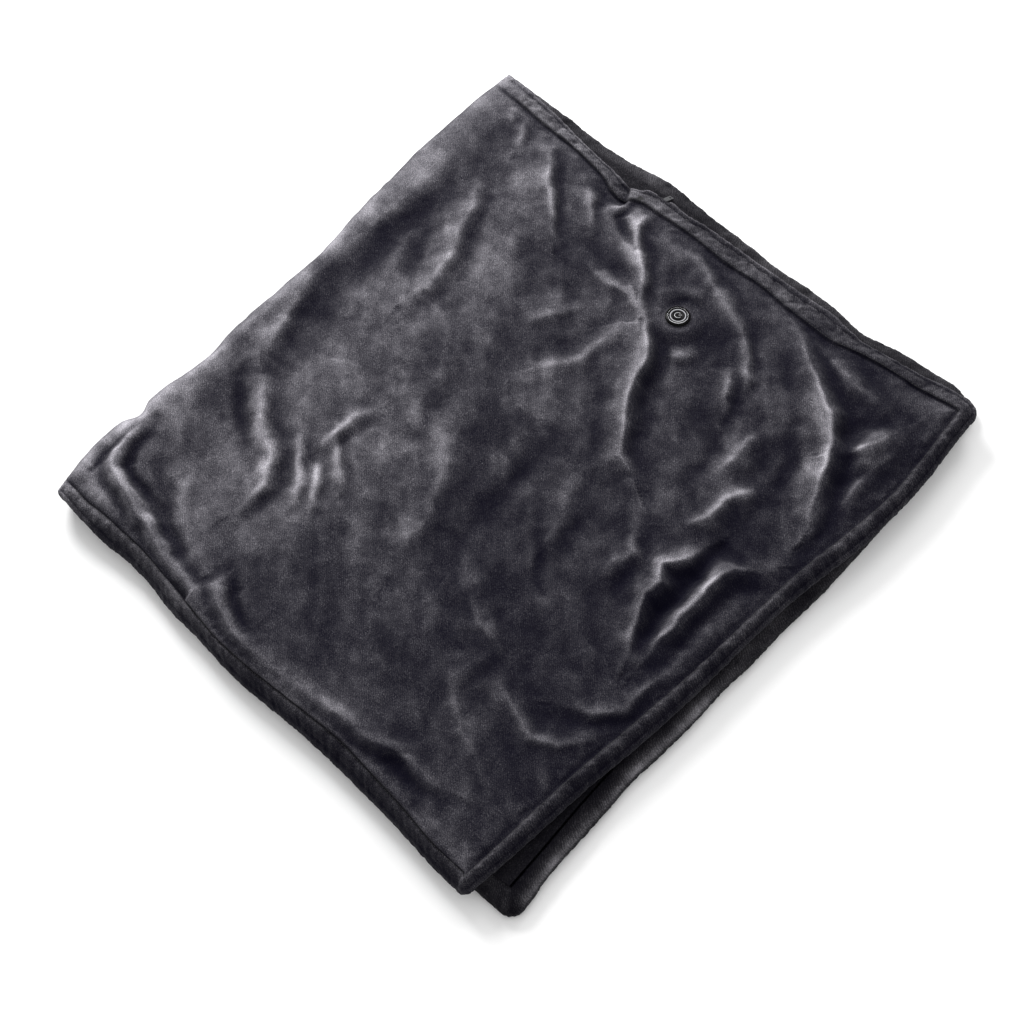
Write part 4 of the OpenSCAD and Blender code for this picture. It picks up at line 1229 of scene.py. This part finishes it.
def tube(name, points, radius, closed, sides=8):
    """A thin silver bar through points given in the controller's frame."""
    p = np.array(points, float)
    count = len(p)
    if closed:
        way = np.roll(p, -1, 0) - np.roll(p, 1, 0)
    else:
        way = np.gradient(p, axis=0)
    way /= np.linalg.norm(way, axis=1, keepdims=True)
    up = np.array([0, 0, 1.0])
    across = np.cross(way, up)
    across /= np.linalg.norm(across, axis=1, keepdims=True)
    angles = np.arange(sides) * 2 * np.pi / sides
    radius = np.broadcast_to(radius, count)[:, None, None]
    rings = (p[:, None] + radius * np.cos(angles)[None, :, None] * across[:, None]
             + radius * np.sin(angles)[None, :, None] * up)
    placed = [controller_place @ Vector(v) for v in rings.reshape(-1, 3)]
    obj = add_mesh(name, np.array(placed), tube_faces(count, sides, closed))
    obj.data.materials.append(SILVER)
    return obj


def arc(radius, height, start=0.0, stop=2 * math.pi, count=72):
    """Points of an arc about the controller's axis; a whole turn leaves out its last point."""
    angles = np.linspace(start, stop, count, endpoint=stop - start < 2 * math.pi)
    return [(radius * math.cos(a), radius * math.sin(a), height) for a in angles]


# a thin silver line round the bezel, widest on the side that the tilt lifts, where its wide part is a
# painted highlight on the bezel's rim
PAINTED_GLINT_SIDE = math.pi
line_turn = np.linspace(0, 2 * math.pi, 72, endpoint=False)
line_and_glint_radius = 0.13 + 0.36 * np.clip(np.cos(line_turn - PAINTED_GLINT_SIDE), 0, 1) ** 1.5
bezel_line_and_painted_glint = tube("bezel_line_and_painted_glint", arc(12.1, 2.5), line_and_glint_radius, True)
# a power sign: most of a turn, and a bar through its gap, on the button's domed top
sign_arc = tube("sign_arc", arc(4.0, 2.89, -0.9, 4.0, 40), 0.28, False)
sign_bar = tube("sign_bar", [(0.1, -4.6, 2.87), (0.05, -2.7, 2.91), (0, -0.6, 2.94)], 0.26, False)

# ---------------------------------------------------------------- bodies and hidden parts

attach(bezel_line_and_painted_glint, "upper_half")
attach(sign_arc, "power_button")
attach(sign_bar, "power_button")
for name in ("upper_plush", "upper_hem_band", "upper_lining_cloth", "pocket_bag", "seam_stitches",
             "bar_tack"):
    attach(pieces[name], "upper_half")
for name in ("lower_plush", "lower_hem_band", "lower_lining_cloth"):
    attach(pieces[name], "lower_half")
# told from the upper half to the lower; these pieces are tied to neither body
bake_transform(pieces["fold_plush"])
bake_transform(pieces["lining_turn"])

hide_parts("upper_outer_panel", "upper_wadding", "upper_heater_felt",
            "controller_patch")
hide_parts("upper_hem")
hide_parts("upper_lining")
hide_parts("lower_outer_panel", "lower_wadding", "lower_heater_felt")
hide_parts("lower_hem")
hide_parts("lower_lining")
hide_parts("fold_outer_strip", "fold_wadding_strip", "fold_leads")
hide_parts("fold_lining_strip")
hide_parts("battery_pocket")

# ---------------------------------------------------------------- floor, light, camera

bpy.ops.mesh.primitive_plane_add(size=40, location=(0, 0, -0.0004))
floor = bpy.context.object
floor.name = "floor"
white = solid_material("floor", (0.93, 0.93, 0.93), 0.85, shine=0.1, size=30, change=0.004)
floor.data.materials.append(white)

world = bpy.data.worlds.new("studio")
bpy.context.scene.world = world
world.use_nodes = True
background = world.node_tree.nodes["Background"]
background.inputs["Color"].default_value = (1, 1, 1, 1)
background.inputs["Strength"].default_value = 0.82


def area_light(name, location, size, power):
    """A round light that shines at the blanket's middle."""
    data = bpy.data.lights.new(name, "AREA")
    data.shape = "DISK"
    data.size = size
    data.energy = power
    light = bpy.data.objects.new(name, data)
    light.location = location
    light.rotation_euler = (-Vector(location)).to_track_quat("-Z", "Y").to_euler()
    bpy.context.scene.collection.objects.link(light)


area_light("key", (-2.5, 0.9, 1.7), 1.3, 100)
area_light("back", (-0.9, 2.6, 1.9), 1.5, 35)

CAMERA_PLACE = Vector((0.8925, -0.9567, 2.5163))
CAMERA_AIM = Vector((0.0307, -0.0525, 0))
camera_data = bpy.data.cameras.new("camera")
camera_data.lens = 85
camera_data.sensor_width = 36
camera = bpy.data.objects.new("camera", camera_data)
camera.location = CAMERA_PLACE
camera.rotation_euler = (CAMERA_AIM - CAMERA_PLACE).to_track_quat("-Z", "Y").to_euler()
bpy.context.scene.collection.objects.link(camera)
bpy.context.scene.camera = camera
bpy.context.scene.view_settings.view_transform = "Standard"

bpy.context.view_layer.update()
